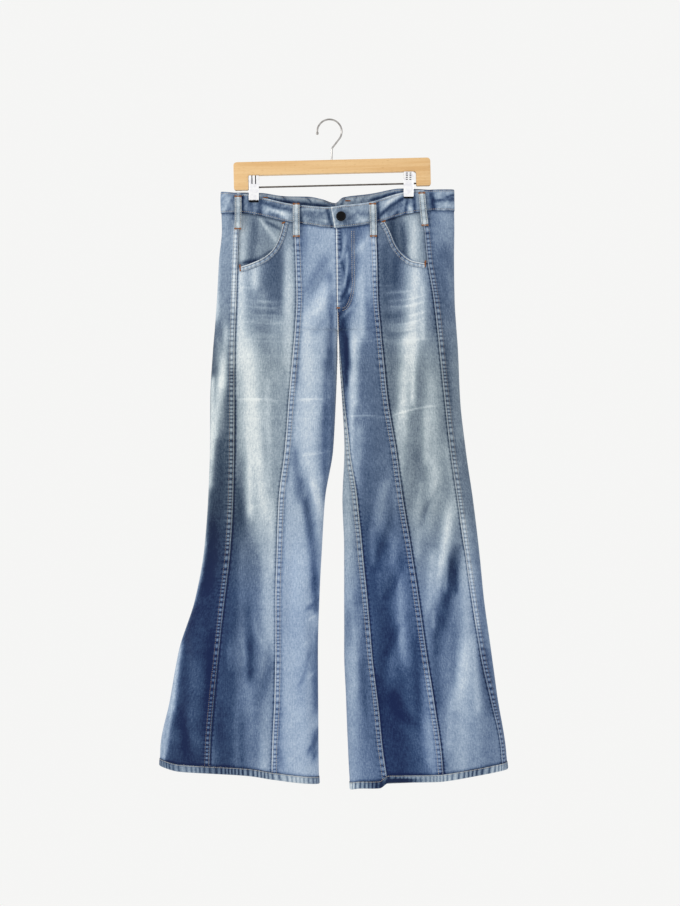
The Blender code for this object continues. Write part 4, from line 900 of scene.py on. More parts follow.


# %% [markdown]
# ## Denim
#
# Denim is a cotton twill: blue warp over white weft, woven so that fine ridges run up at a slant. Its yarn
# is uneven, so light and dark slubs run down the cloth. Spun cotton is matt, with a faint sheen of loose
# fibre. The shader turns each point's tone, which holds fading and painted light and shade, into a colour
# between deep indigo and worn white, adds slubs, mottling and the twill line at their real sizes, and gives
# the rope ladder of a felled seam.


# %% Node helper
def add_node(tree, kind, inputs=None, **settings):
    """Adds a node with its settings. An input takes a value or another node's output."""
    made = tree.nodes.new("ShaderNode" + kind)
    for name, value in settings.items():
        setattr(made, name, value)
    for key, value in (inputs or {}).items():
        if isinstance(value, bpy.types.NodeSocket):
            tree.links.new(value, made.inputs[key])
        else:
            made.inputs[key].default_value = value
    return made


def new_material(name, **values):
    """A material whose Principled shader has these values, with its name's underscores as spaces."""
    made = bpy.data.materials.new(name)
    made.use_nodes = True
    shader = made.node_tree.nodes["Principled BSDF"]
    for key, value in values.items():
        shader.inputs[key.replace("_", " ")].default_value = value
    MATERIALS[name] = made
    return made.node_tree, shader


def calculate(tree, operation, *values):
    """A Math node's output, from numbers and other nodes' outputs."""
    return add_node(tree, "Math", dict(enumerate(values)), operation=operation).outputs[0]


def rescale(tree, value, start=0.0, end=1.0, low=0.0, high=1.0):
    """A value's place between start and end, as a value between low and high."""
    limits = {"From Min": start, "From Max": end, "To Min": low, "To Max": high}
    return add_node(tree, "MapRange", {"Value": value, **limits}).outputs[0]


def noise(tree, place, scale, detail):
    """A noise's output. A scale of three numbers stretches the place along each axis."""
    if isinstance(scale, tuple):
        place = add_node(tree, "Mapping", {"Vector": place, "Scale": scale}).outputs[0]
        scale = 1
    return add_node(tree, "TexNoise", {"Vector": place, "Scale": scale, "Detail": detail}).outputs["Fac"]


def colour_by(tree, value, stops):
    """A value's colour, from stops of a position and an sRGB colour."""
    made = add_node(tree, "ValToRGB", {"Fac": value})
    elements = made.color_ramp.elements
    while len(elements) > 1:
        elements.remove(elements[-1])
    elements[0].position = stops[0][0]
    elements[0].color = linear(stops[0][1])
    for position, colour in stops[1:]:
        elements.new(position).color = linear(colour)
    return made.outputs["Color"]


def mix_colours(tree, share, first, second):
    return add_node(tree, "Mix", {"Factor": share, 6: first, 7: second}, data_type="RGBA").outputs[2]


def finish_surface(tree, shader, colour, height, strength, distance=0.0001):
    """Gives a shader its colour, and a fine relief from a height."""
    tree.links.new(colour, shader.inputs["Base Color"])
    bump = add_node(tree, "Bump", {"Strength": strength, "Distance": distance, "Height": height})
    tree.links.new(bump.outputs["Normal"], shader.inputs["Normal"])


def add_grained(name, scale, stops, strength, **values):
    """A material whose one fine grain gives both its colour and its relief."""
    tree, shader = new_material(name, **values)
    grain = noise(tree, add_node(tree, "TexCoord").outputs["Object"], scale, 2)
    finish_surface(tree, shader, colour_by(tree, grain, stops), grain, strength)


# %% Denim's face
SLUB = (0.0019, 0.010)  # width and length of an uneven stretch of yarn
TWILL_PITCH = 0.0016  # drawn at twice its real spacing, so that it shows
BLUE_STOPS = (
    (0.0, "#051C49"), (0.2, "#2B446B"), (0.4, "#546B90"),
    (0.6, "#7E93B2"), (0.8, "#A7B9D0"), (1.0, "#D4DEE8"),
)
GREY_STOPS = (
    (0.0, "#0E1E38"), (0.2, "#36475A"), (0.4, "#606E7D"),
    (0.6, "#8997A1"), (0.8, "#B2BEC5"), (1.0, "#DFE5E5"),
)


def weave(tree, tone, amounts):
    """Adds slubs, grain, flecks, mottling and the twill line to a tone, and gives their heights."""
    flat = add_node(tree, "UVMap", uv_map="cloth").outputs["UV"]
    slub = noise(tree, flat, (1 / SLUB[0], 1 / SLUB[1], 1), 2)
    grain, fleck, mottle = noise(tree, flat, 700, 1), noise(tree, flat, 290, 1), noise(tree, flat, 40, 4)
    slanted = add_node(tree, "Mapping", {"Vector": flat, "Scale": (1, 0.6, 1)})
    twill = add_node(
        tree,
        "TexWave",
        {"Vector": slanted.outputs[0], "Scale": 0.54 / TWILL_PITCH, "Distortion": 0.6, "Detail": 1},
        bands_direction="DIAGONAL",
    ).outputs["Fac"]
    total = tone
    for pattern, amount in zip((slub, grain, fleck, mottle, twill), amounts):
        total = calculate(tree, "MULTIPLY_ADD", pattern, amount, total)
    total = calculate(tree, "SUBTRACT", total, sum(amounts) / 2)
    return total, calculate(tree, "MULTIPLY_ADD", slub, 0.7, twill)


def add_denim_face():
    # Washed indigo denim: matt cotton yarn, so it is rough, with a slight sheen of loose fibre.
    tree, shader = new_material(
        "washed_indigo_denim", Roughness=0.92, Sheen_Weight=0.12, Sheen_Roughness=0.5,
        Specular_IOR_Level=0.25,
    )
    marks = {
        mark: add_node(tree, "Attribute", attribute_name=mark).outputs["Fac"]
        for mark in Marks._fields
    }
    # Between two dark gaps the rope is a pale square: a sine's height, a little flattened.
    wave = calculate(tree, "SINE", calculate(tree, "MULTIPLY", marks["ripple"], math.pi))
    square = calculate(tree, "POWER", calculate(tree, "ABSOLUTE", wave), 0.8)
    ladder = calculate(tree, "MULTIPLY", calculate(tree, "SUBTRACT", square, 0.69), marks["seam"])
    roped = calculate(tree, "MULTIPLY_ADD", ladder, 0.5, marks["tone"])
    tone, height = weave(tree, roped, (0.34, 0.17, 0.24, 0.17, 0.08))
    blue, grey = (colour_by(tree, tone, stops) for stops in (BLUE_STOPS, GREY_STOPS))
    mixed = mix_colours(tree, marks["cast"], blue, grey)
    puckered = calculate(tree, "MULTIPLY_ADD", ladder, 0.9, height)
    finish_surface(tree, shader, mixed, puckered, 0.55, 0.0004)


add_denim_face()


# %% Denim's reverse
def add_denim_reverse():
    # The undyed weft lies on the inside, so this face is a pale blue-grey.
    tree, shader = new_material("denim_reverse", Roughness=0.95, Specular_IOR_Level=0.2)
    base = add_node(tree, "Attribute", attribute_name="tone").outputs["Fac"]
    gentle = calculate(tree, "MULTIPLY_ADD", base, 0.25, 0.35)
    tone, height = weave(tree, gentle, (0.3, 0.2, 0.2, 0.1, 0.12))
    stops = ((0.0, "#4A5768"), (0.5, "#94A0AE"), (1.0, "#D5D9DC"))
    finish_surface(tree, shader, colour_by(tree, tone, stops), height, 0.9)


add_denim_reverse()
FACE_AND_REVERSE = ("washed_indigo_denim", "denim_reverse")
print("materials:", ", ".join(MATERIALS))

# %% [markdown]
# ## Placing the cloth
#
# A cloth piece replaces its solid, which is hidden, and rides on the one body. Its shell prints the area
# of cloth that it holds, half its whole surface. No pattern is at hand, so the cut is measured on the
# smooth form, before any crease or pucker moves it.


def finish_cloth(node, grid, outer, inner, marks, finishes=FACE_AND_REVERSE, ring=False):
    """Makes a cloth piece's shell, attaches it to the body and hides its solid."""
    outward = np.stack([grid[2], grid[3], np.zeros_like(grid[2])], axis=2)
    CLOTH[node] = Sheet(outer, grid_normals(outer, outward), inner, grid_normals(inner, -outward))
    piece = make_shell(f"{node}_cloth", outer, inner, marks, outward, finishes, ring)
    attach(piece, "root")
    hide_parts(node)


# %% [markdown]
# ## Panels
#
# A lapped seam has a folded free edge, two rows of stitching, and a soft roll between them. Washing
# shrinks the thread more than the cloth, so the roll puckers into a rope. Each panel's grid has close
# columns over its seam, where the roll is shaped, and wider ones between.

# %% Seam profiles
BAND_STEPS = np.array([0, 0.5, 1.2, 2.0, 2.9, 4.2, 5.5, 6.8, 8.0, 8.8, 9.6, 10.6, 11.6, 12.8])
BAND_RISE = np.array([0.35, 0.95, 1.1, 0.75, 1.15, 1.4, 1.45, 1.4, 1.15, 0.75, 0.9, 0.6, 0.25, 0])
PLAIN_STEPS = np.array([0, 0.8, 1.8, 3.2, 5.0])
PLAIN_RISE = np.array([-0.35, -0.12, 0, 0, 0])
NEAR_ROW, FAR_ROW = 3, 9  # the two stitched columns of a band, counted from its free edge
ROPE_PITCH = 8.0


def band_rope(from_edge):
    return np.interp(from_edge, (0, 2, 3.5, 5.5, 7.5, 9, 12, 18), (0.15, 0.35, 0.9, 1, 0.9, 0.35, 0.2, 0))


# Tone across a band: its folded edge worn pale and painted with a highlight, and painted shade in the grooves
# by its two stitched columns and just past its end.
def band_wear_and_shade(from_edge):
    return np.interp(
        from_edge,
        (0, 1.4, 1.9, 2.9, 3.8, 5.5, 7.4, 8.4, 9.4, 10.4, 11.4, 13.5),
        (0.20, 0.20, 0.04, -0.14, 0.03, 0.06, 0.02, -0.13, 0.0, 0.0, -0.14, 0.0),
    )


# The dark line where a plain edge runs under its neighbour's band: cloth left unfaded, and painted shade.
def plain_edge_unfaded_and_shaded(from_edge):
    return np.interp(from_edge, (0, 1.6, 2.6, 4.5), (-0.5, -0.42, -0.10, 0))


def rope_phase(drop, seed):
    return drop / ROPE_PITCH + 0.6 * np.sin(drop / 31 + seed) + 0.45 * np.sin(drop / 12 + 2 * seed)


# %% Panel table
# Shadow is how strong the dark line is where a plain edge runs under its neighbour's band.
Panel = namedtuple("Panel", "node leg first last top bands count seeds shadow")
ROWS = 400


def panels_of(leg):
    name = leg.name
    beside = (0.45, 1.0) if leg is LEFT else (1.0, 0.6)
    return (
        Panel(
            f"front_centre_{name}", leg, "inner_front", "princess", "front",
            (False, True), 24, (1, 2), (0.5, 0),
        ),
        Panel(f"front_side_{name}", leg, "princess", "side", "pocket", (False, False), 38, (2, 3), beside),
        Panel(f"back_{name}", leg, "side", "inner_back", "front", (True, True), 62, (3, 4), (0, 0)),
    )


def panel_columns(panel, drop):
    """Measures across a panel, with their distances from its first edge and from its last."""
    start = bound_at(panel.leg, panel.first, drop) + SEAM_GAP / 2
    end = bound_at(panel.leg, panel.last, drop) - SEAM_GAP / 2
    first, last = (BAND_STEPS if banded else PLAIN_STEPS for banded in panel.bands)
    middle = np.linspace(start + first[-1], end - last[-1], panel.count + 2)[1:-1]
    measures = np.concatenate([start + first, middle, end - last[::-1]])
    return np.array([measures, measures - start, end - measures])


def hem_drop(leg, x, y):
    """Drop of the leg's lower edge, in front or behind."""
    return edge_drop(leg.hem_front if y < 0 else leg.hem_back, x)


def panel_edges(panel):
    """The top and bottom drop of each column."""
    leg = panel.leg
    at_top = section(leg, BODY_TOP).at(panel_columns(panel, BODY_TOP)[0])
    at_low = section(leg, BODY_BOTTOM).at(panel_columns(panel, BODY_BOTTOM)[0])
    tops = [top_drop(leg, "back" if y > 0 else panel.top, x) for x, y in at_top[:2].T]
    hems = [hem_drop(leg, x, y) for x, y in at_low[:2].T]
    return np.array(tops), np.array(hems) - HEM_HEIGHT - SEAM_GAP


def inner_band(leg, drop):
    """How far a back panel's inner edge is raised: the seat seam's band lies on the left half."""
    seat = (1 - ramp(drop, CROTCH_DROP - 30, CROTCH_DROP - 8)) if leg is LEFT else 0.0
    return seat + ramp(drop, CROTCH_DROP + 15, CROTCH_DROP + 50)


# %% Panel maker
FLY_EDGE_WEAR_AND_HIGHLIGHT = 0.95
CAST_SHIFT = {"front_centre_left": -0.50, "front_centre_right": -0.45, "back_right": -0.1}


def cast_of(x, drop, shift=0.0):
    """Greyest on the thighs, where the most blue is worn off, and bluest at the hems."""
    level = np.interp(drop, (150, 320, 440, 700, 850, 1200), (0.52, 0.62, 0.92, 0.85, 0.28, 0.20))
    drift = 0.12 * np.sin(x / 61 + 2) * np.sin(drop / 120)
    return np.clip(level + drift + shift, 0, 1)


def panel_sides(panel, drops, from_first, from_last):
    """Rise, rope, wear with painted shade, and rope phase that a panel's two edge seams give."""
    rise, rope, wear_and_shade = np.zeros_like(drops), np.zeros_like(drops), np.zeros_like(drops)
    for banded, distance, last in zip(panel.bands, (from_first, from_last), (False, True)):
        if banded:
            share = inner_band(panel.leg, drops) if last and panel.last == "inner_back" else 1.0
            rise += share * np.interp(distance, BAND_STEPS, BAND_RISE)
            rope = np.maximum(rope, share * band_rope(distance))
            wear_and_shade += share * band_wear_and_shade(distance)
        else:
            rise += np.interp(distance, PLAIN_STEPS, PLAIN_RISE)
            rope = np.maximum(rope, 0.35 * (1 - ramp(distance, 0, 8)))
            wear_and_shade += panel.shadow[last] * plain_edge_unfaded_and_shaded(distance)
    nearer_first = from_first < from_last
    phases = [rope_phase(drops, seed) for seed in panel.seeds]
    return rise, rope, wear_and_shade, np.where(nearer_first, *phases)


def add_panel(panel):
    leg = panel.leg
    tops, lows = panel_edges(panel)
    nominal = np.linspace(BODY_TOP, BODY_BOTTOM, ROWS)[:, None]
    drops = row_drop(nominal, tops[None, :], lows[None, :])

    def line_at(level):
        columns = panel_columns(panel, level)
        return np.concatenate([section(leg, level).at(columns[0]), columns[1:]])

    grid = drape(line_at, drops)
    x, y, _, ny, from_first, from_last = grid
    soft, facing = relief(x, y, drops)
    soft *= np.abs(ny)
    rise, rope, wear_and_shade, phase = panel_sides(panel, drops, from_first, from_last)
    tucked = np.exp(-(((drops - tops[None, :]) / 5) ** 2)) + np.exp(-(((drops - lows[None, :]) / 5) ** 2))
    gathers = 0.3 * np.sin(2 * math.pi * x / 9.5 + 1.2 * np.sin(x / 23)) * tucked
    lapped = panel.node == "front_centre_right"
    lift = fly_lift(x, drops) if lapped else 0.0
    height = soft + lift + gathers
    outer = raised(grid, drops, height + rise + 0.28 * np.sin(2 * math.pi * phase) * rope)
    inner = raised(grid, drops, height - WALL)
    tone = stroke_tone(BASE_TONE[panel.node], STROKES[panel.node], x, drops)
    if panel.node in STROKES_BEHIND:
        behind = stroke_tone(BASE_TONE[panel.node], STROKES_BEHIND[panel.node], x, drops)
        tone = tone * facing + behind * (1 - facing)
    # The tone is paler on crease ridges, as wear, and darker in their troughs, as painted shade; it is
    # darkened along the waistband and hem seams; the seams add their wear and painted shade, and the worn
    # lines their white.
    tone = tone + 0.13 * np.tanh(soft) + wear_and_shade - 0.26 * tucked**3 + sum_lines(WORN_LINES, x, drops) * facing
    if lapped:
        beside = np.exp(-(((from_first - 5) / 2.6) ** 2)) * (1 - ramp(drops, FLY_BOTTOM - 8, FLY_BOTTOM))
        rope = np.maximum(rope, 0.7 * beside)
    # A roll shows its ladder most in dark cloth, and hardly where it is worn white.
    rope = rope * (1 - 0.6 * ramp(tone, 0.6, 0.9)) * (1.8 - 0.8 * ramp(tone, 0.15, 0.5))
    if lapped:  # the lapped edge of the fly is worn white and painted with a highlight
        above_end = 1 - ramp(drops, FLY_BOTTOM - 10, FLY_BOTTOM)
        tone += FLY_EDGE_WEAR_AND_HIGHLIGHT * np.exp(-((from_first / 1.8) ** 2)) * above_end
    marks = Marks(tone, cast_of(x, drops, CAST_SHIFT.get(panel.node, 0.0)), rope, phase)
    finish_cloth(panel.node, grid, outer, inner, marks)


for leg in LEGS:
    for panel in panels_of(leg):
        add_panel(panel)

# %% [markdown]
# ## Hems
#
# A hem is the cloth turned up twice and stitched near its top. It is a ring, three layers thick, and the
# feed of the machine leaves it puckered in slanting ripples, whose ridges wear white.

# %% Hems
HEM_COLUMNS, HEM_RIPPLE = 400, 8.3


def add_hem(leg):
    share = np.linspace(0, 1, HEM_COLUMNS, endpoint=False)
    low_cut = section(leg, BODY_BOTTOM)
    low_x, low_y = low_cut.at(share * low_cut.total)[:2]
    bottoms = np.array([hem_drop(leg, x, y) for x, y in zip(low_x, low_y)])
    down = np.array([0, 0.03, 0.1, 0.18, 0.27, 0.37, 0.47, 0.57, 0.67, 0.77, 0.87, 0.95, 1.0])[:, None]
    drops = bottoms[None, :] - HEM_HEIGHT * (1 - down)

    def line_at(level):
        cut = section(leg, level)
        return cut.at(share * cut.total)

    grid = drape(line_at, drops)
    x, y, _, ny = grid
    soft, _ = relief(x, y, drops)
    soft *= np.abs(ny)
    girth = low_cut.total * share
    uneven = 0.6 * np.sin(girth / 27) + 0.35 * np.sin(girth / 9.7)
    phase = (girth[None, :] + 1.4 * down) / HEM_RIPPLE + uneven[None, :]
    rolled = np.interp(down, (0, 0.05, 0.12, 0.9, 1), (-0.35, -0.05, -0.25, 0, -0.7))
    ripple = 0.42 * np.sin(2 * math.pi * phase) * np.interp(down, (0, 0.2, 0.9, 1), (0.3, 1, 1, 0.4))
    outer = raised(grid, drops, soft + SEAM_RISE + rolled + ripple)
    inner = raised(grid, drops, soft - WALL - SEAM_RISE / 2 + 0 * down)
    tone = np.interp(x, (-312, -230, -180, -120, -60, -30), (0.46, 0.30, 0.32, 0.48, 0.62, 0.50))
    if leg is RIGHT:
        tone = np.interp(x, (30, 60, 80, 100, 150, 200, 316), (0.62, 0.5, 0.12, 0.18, 0.40, 0.48, 0.46))
        hem_low_shade = ramp(down, 0.35, 0.55) * np.exp(-(((x - 122) / 28) ** 2)) * (y < 0)
        tone = tone - 0.62 * hem_low_shade  # painted shade on the hem's lower half here
    patchy = 0.13 * np.sin(x / 21 + 1.7 * np.sin(x / 47))
    # Down the hem: a painted shadow along its top, then the top fold's edge worn pale, and its lower edge
    # worn pale.
    down_wear_and_shade = np.interp(
        down, (0, 0.05, 0.1, 0.18, 0.28, 0.85, 1), (-0.4, 0.1, 0.26, -0.04, 0.06, 0.06, 0.2)
    )
    tone = tone + patchy + down_wear_and_shade
    rope = np.interp(down, (0, 0.12, 0.3, 0.9, 1), (0.4, 0.5, 0.95, 0.95, 0.5)) + 0.35 * np.sin(x / 33)
    marks = Marks(tone, cast_of(x, drops, 0.35), rope, phase + 0 * x)
    finish_cloth(f"hem_{leg.name}", grid, outer, inner, marks, ring=True)


for leg in LEGS:
    add_hem(leg)

# %% [markdown]
# ## Waistband
#
# The waistband is a folded strip, stitched down to the panels along its lower edge. Its right end laps
# over the left one at the button. Behind, its inside shows above the front, so both faces are the blue one.

# %% Reading a grid of seen points
BOTH_FACES = ("washed_indigo_denim", "washed_indigo_denim")


def seen_grid(xs, drops, front=True):
    """The plain form under a grid of points that are given by where they are seen."""
    points = [[on_cloth(x, drop, front) for x, drop in zip(*row)] for row in zip(xs, drops)]
    return np.moveaxis(np.array(points), 2, 0)


CREASES_BAND = (
    (81, 168, 122, 134, 3, 3.0, 0.9), (96, 172, 128, 150, 3, 4.0, -0.9),
    (-118, 160, -78, 178, 3, 4.0, 0.7), (-122, 148, -84, 152, -2, 4.0, -0.7),
    (-152, 136, -146, 164, 1, 4.0, -0.8), (30, 166, 60, 188, 3, 4.0, 0.6),
    (-50, 172, -14, 180, -2, 5.0, -0.6), (176, 132, 178, 160, 2, 4.0, -0.8),
    (196, 134, 206, 158, 2, 4.0, 0.7), (-190, 136, -186, 162, 2, 4.0, 0.6),
)


def band_relief(x, drop):
    slanted = drop + 0.35 * x
    across = np.sin(x / 3.9 + 2.2 * np.sin(slanted / 5.1))
    down = np.sin(slanted / 3.3 + 1.6 * np.sin(x / 8.3))
    return 0.30 * across * down + sum_lines(CREASES_BAND, x, drop)


BAND_DOWN = np.array(
    [0, 0.02, 0.05, 0.08, 0.13, 0.2, 0.27, 0.34, 0.42, 0.5, 0.58, 0.66, 0.73, 0.8, 0.87, 0.92, 0.95, 0.98, 1]
)[:, None]
TOP_STITCH, LOW_STITCH = 3, 15  # the rows of BAND_DOWN that are stitched
BAND_ROLL = np.interp(
    BAND_DOWN, (0, 0.02, 0.05, 0.08, 0.13, 0.87, 0.92, 0.95, 1), (-0.9, -0.3, 0, -0.22, 0, 0, -0.25, 0, -0.4)
)


def waistband_shell(node, grid, x, drops, lift):
    soft = band_relief(x, drops) * np.abs(grid[3])
    near_edge = np.interp(BAND_DOWN, (0, 0.15, 0.4, 0.75, 1), (0.5, 0.6, 0.1, 0.4, 1))
    phase = x / 9.0 + 0.5 * np.sin(x / 21) + 0.4 * BAND_DOWN
    pucker = 0.28 * np.sin(2 * math.pi * phase) * near_edge
    outer = raised(grid, drops, BAND_OUT + lift + soft + BAND_ROLL + pucker)
    inner = raised(grid, drops, -BAND_IN + lift + soft - BAND_ROLL)
    half = "waistband_front" if "front" in node else "waistband_back"
    # At the top the front's edge is worn pale, while the back's gets a dark line of painted shade; the lower
    # edge gets painted shade by its seam; the tone follows the crumples, paler on their tops and darker in
    # their hollows, as painted light and shade.
    at_top = (0.34, 0.26, -0.08, 0) if "front" in node else (-0.34, -0.16, 0, 0)
    wear_and_shade = np.interp(BAND_DOWN, (0, 0.03, 0.08, 0.12, 0.88, 0.92, 0.97, 1), (*at_top, 0, -0.14, 0.10, -0.35))
    tone = stroke_tone(BASE_TONE["waistband"], STROKES[half], x, drops) + wear_and_shade + 0.30 * np.tanh(soft)
    # The lapped end's edge is worn pale and painted with a highlight.
    if node == "waistband_front_right":
        tone = tone + 0.6 * np.exp(-(((x - x[:, -1:]) / 1.8) ** 2))
    marks = Marks(tone, cast_of(x, drops, -0.05), 0.2 * near_edge + 0 * x, phase)
    finish_cloth(node, grid, outer, inner, marks, BOTH_FACES)


# %% Front halves
def band_lift(x):
    """The right end of the waistband laps over the left one."""
    return (BAND_OUT + BAND_IN + SEAM_GAP) * (1 - ramp(x, 20, 30))


BAND_MIDDLE = 150.0


def add_front_band(leg):
    side_x = leg_row(leg, BAND_MIDDLE).side - leg.sign * SEAM_GAP / 2
    end = UNDER_END if leg is LEFT else LAP_END
    columns = np.linspace(side_x, end, 84)[None, :]
    x = columns + 0 * BAND_DOWN
    if leg is RIGHT:
        x = x + LAP_LEAN * BAND_DOWN * ramp(-columns, -BUTTON_X, -LAP_END)
    top, seam = edge_drop(BAND_TOP_FRONT, x), edge_drop(BAND_SEAM_FRONT, x)
    drops = top * (1 - BAND_DOWN) + seam * BAND_DOWN
    lift = band_lift(x) if leg is RIGHT else 0.0
    waistband_shell(f"waistband_front_{leg.name}", seen_grid(x, drops), x, drops, lift)


for leg in LEGS:
    add_front_band(leg)


# %% Back halves
def add_back_band(leg):
    side_x = leg_row(leg, BAND_MIDDLE).side
    level = section(leg, BAND_MIDDLE)
    start = level.front(side_x) + SEAM_GAP / 2
    share = np.linspace(0, 1, 104)
    points = []
    middle = level.at(start + (level.total - start) * share)
    edges = []
    for x, y in middle[:2].T:
        top_edge, hem_low_shade = (BAND_TOP_BACK, BAND_SEAM_BACK) if y > 0 else (BAND_TOP_FRONT, BAND_SEAM_FRONT)
        edges.append((edge_drop(top_edge, x), edge_drop(hem_low_shade, x)))
    top, seam = np.array(edges).T
    drops = top[None, :] * (1 - BAND_DOWN) + seam[None, :] * BAND_DOWN
    for row in drops:
        points.append([])
        for drop, part in zip(row, share):
            cut = section(leg, drop)
            first = cut.front(side_x) + SEAM_GAP / 2
            points[-1].append(cut.at(first + (cut.total - first) * part))
    grid = np.moveaxis(np.array(points), 2, 0)
    waistband_shell(f"waistband_back_{leg.name}", grid, grid[0], drops, 0.0)


for leg in LEGS:
    add_back_band(leg)

# %% [markdown]
# ## Pockets and fly
#
# Each front pocket's mouth is cut in a curve and turned under, with two rows of stitching. The cloth seen
# inside it is the facing, which hangs a little loose. The fly has a second layer behind its lap.


# %% Pocket mouths
EDGE_START = 0.3  # where the turned edge begins, in from the mouth's line


def distance_along(xs, drops):
    """How far each point of a line lies along it."""
    return np.concatenate([[0], np.cumsum(np.hypot(np.diff(xs), np.diff(drops)))])


def mouth_path(leg, count):
    """Points along the pocket's mouth, evenly spaced, with the direction into the panel."""
    xs, drops = zip(*leg.pocket)
    run = distance_along(xs, drops)
    along = np.linspace(0, run[-1], count)
    x, drop = smooth_curve(run, xs, along), smooth_curve(run, drops, along)
    along_x, along_drop = np.gradient(x), np.gradient(drop)
    size = np.hypot(along_x, along_drop)
    return x, drop, leg.sign * along_drop / size, -leg.sign * along_x / size


def add_pocket_edge(leg):
    node = f"pocket_edge_{leg.name}"
    mouth_x, mouth_drop, into_x, into_drop = mouth_path(leg, 64)
    across = np.array([0, 0.4, 1.0, 1.8, 2.6, 4.0, 5.4, 6.8, 7.6, 8.4, 9.2, 10.0])[:, None]
    rise = np.array([-0.5, -0.1, 0, -0.25, 0, 0.12, 0.15, 0.1, -0.22, 0, -0.1, -0.4])[:, None]
    into = EDGE_START + across * (EDGE_WIDTH - EDGE_START) / EDGE_WIDTH
    x, drops = mouth_x + into_x * into, mouth_drop + into_drop * into
    drops = np.maximum(drops, edge_drop(BAND_SEAM_FRONT, x) + 1.2)
    grid = seen_grid(x, drops)
    soft = relief(x, grid[1], drops)[0] * np.abs(grid[3])
    run = distance_along(mouth_x, mouth_drop)[None, :]
    phase = run / ROPE_PITCH + 0.4 * np.sin(run / 17) + 0.03 * across
    rope = np.interp(across, (0, 2, 4, 7, 9, 10), (0.1, 0.2, 0.5, 0.5, 0.2, 0.1))
    ripple = 0.2 * rope * np.sin(2 * math.pi * phase)
    outer = raised(grid, drops, soft + EDGE_LIFT + EDGE_WALL + rise + ripple)
    inner = raised(grid, drops, soft + EDGE_LIFT)
    # Across the turned edge: its fold worn pale, painted shade in the grooves by the stitches, and darker at
    # its inner end.
    wear_and_shade = np.interp(
        across,
        (0, 1.0, 1.7, 2.6, 3.4, 6.8, 7.6, 8.6, 10),
        (0.42, 0.38, -0.3, -0.2, 0.04, 0.04, -0.24, 0.06, -0.2),
    )
    tone = stroke_tone(BASE_TONE["pocket_edge"], STROKES["pocket_edge"], x, drops) + wear_and_shade
    marks = Marks(tone, cast_of(x, drops), rope + 0 * x, phase)
    finish_cloth(node, grid, outer, inner, marks)


for leg in LEGS:
    add_pocket_edge(leg)


# %% Pocket facings
def add_pocket_facing(leg):
    node = f"pocket_facing_{leg.name}"

    def limit(drop):
        """x where the side seam's band begins."""
        return section(leg, drop).row.side - leg.sign * (SEAM_BAND / 2 + SEAM_GAP)

    side_x = limit(BODY_TOP)
    column_x = np.linspace(side_x, leg.pocket[-1][0] - leg.sign * 5, 42)[None, :]
    top = edge_drop(BAND_SEAM_FRONT, column_x) + SEAM_GAP
    bottom = np.maximum(edge_drop(leg.pocket, column_x), top) + FACING_OVERLAP
    down = np.linspace(0, 1, 44)[:, None]
    drops = top + (bottom - top) * down
    shift = np.array([limit(drop) for drop in drops.ravel()]).reshape(drops.shape) - side_x
    x = column_x + shift * (column_x[0, -1] - column_x) / (column_x[0, -1] - side_x)
    grid = seen_grid(x, drops)
    ripple = 0.35 * np.sin(x / 4.3 + 0.8 * np.sin(drops / 19)) * ramp(drops, top + 4, top + 30)
    soft = relief(x, grid[1], drops)[0] * np.abs(grid[3]) - FACING_DEPTH
    outer = raised(grid, drops, soft + ripple - 0.25)
    inner = raised(grid, drops, soft + ripple - 0.25 - FACING_WALL)
    tone = stroke_tone(BASE_TONE["pocket_facing"], STROKES["pocket_facing"], x, drops)
    tone = tone + 0.04 * ripple / 0.35 - 0.26 * (1 - ramp(drops, top, top + 5))
    marks = Marks(tone, cast_of(x, drops, 0.25), 0 * x, 0 * x)
    finish_cloth(node, grid, outer, inner, marks)


for leg in LEGS:
    add_pocket_facing(leg)


# %% Fly facing
def add_fly_facing():
    top, bottom = edge_drop(BAND_SEAM_FRONT, BUTTON_X) + 2, FLY_BOTTOM - FLY_SHORTER
    drops = np.linspace(top, bottom, 40)[:, None] + np.zeros((1, 12))
    narrow = np.sqrt(1 - 0.75 * ramp(drops, bottom - 40, bottom + 10))
    inner_x = np.array([section(RIGHT, drop).row.inner for drop in drops[:, 0]])[:, None]
    x = inner_x + 0.6 + (FLY_WIDTH - 6) * narrow * np.linspace(0, 1, 12)[None, :]
    grid = seen_grid(x, drops)
    out = fly_lift(x, drops) - WALL - 1.5 * SEAM_GAP + relief(x, grid[1], drops)[0]
    outer, inner = raised(grid, drops, out), raised(grid, drops, out - FACING_WALL)
    marks = Marks(BASE_TONE["fly_facing"] + 0 * x, cast_of(x, drops), 0 * x, 0 * x)
    finish_cloth("fly_facing", grid, outer, inner, marks)


add_fly_facing()

# %% [markdown]
# ## Belt loops
#
# A belt loop is a strip folded to three layers and tacked down at both ends. It stands off the waistband
# between them, and its edges and crown wear nearly white.

# %% Loops
Loop = namedtuple("Loop", "name x top lean front")
LOOPS = (
    Loop("front_side_left", -171, 135.7, 0, True),
    Loop("front_left", -65.5, 150.5, 0.5, True),
    Loop("front_right", 71.6, 150.3, 1.5, True),
    Loop("front_side_right", 163, 129.6, 6.0, True),
    Loop("back_left", -122.5, 131.6, 0, False),
    Loop("back_centre", 27, 136.0, 0, False),
    Loop("back_right", 178, 127.0, 0, False),
)
LOOP_DOWN = np.linspace(0, 1, 42)[:, None]
HALF_LOOP = np.array([0.13, 0.26, 0.34, 0.42, 0.47, 0.5])
LOOP_ACROSS = np.concatenate([-HALF_LOOP[::-1], [0], HALF_LOOP])[None, :]
LOOP_ROWS = (3, 9)  # the stitched columns


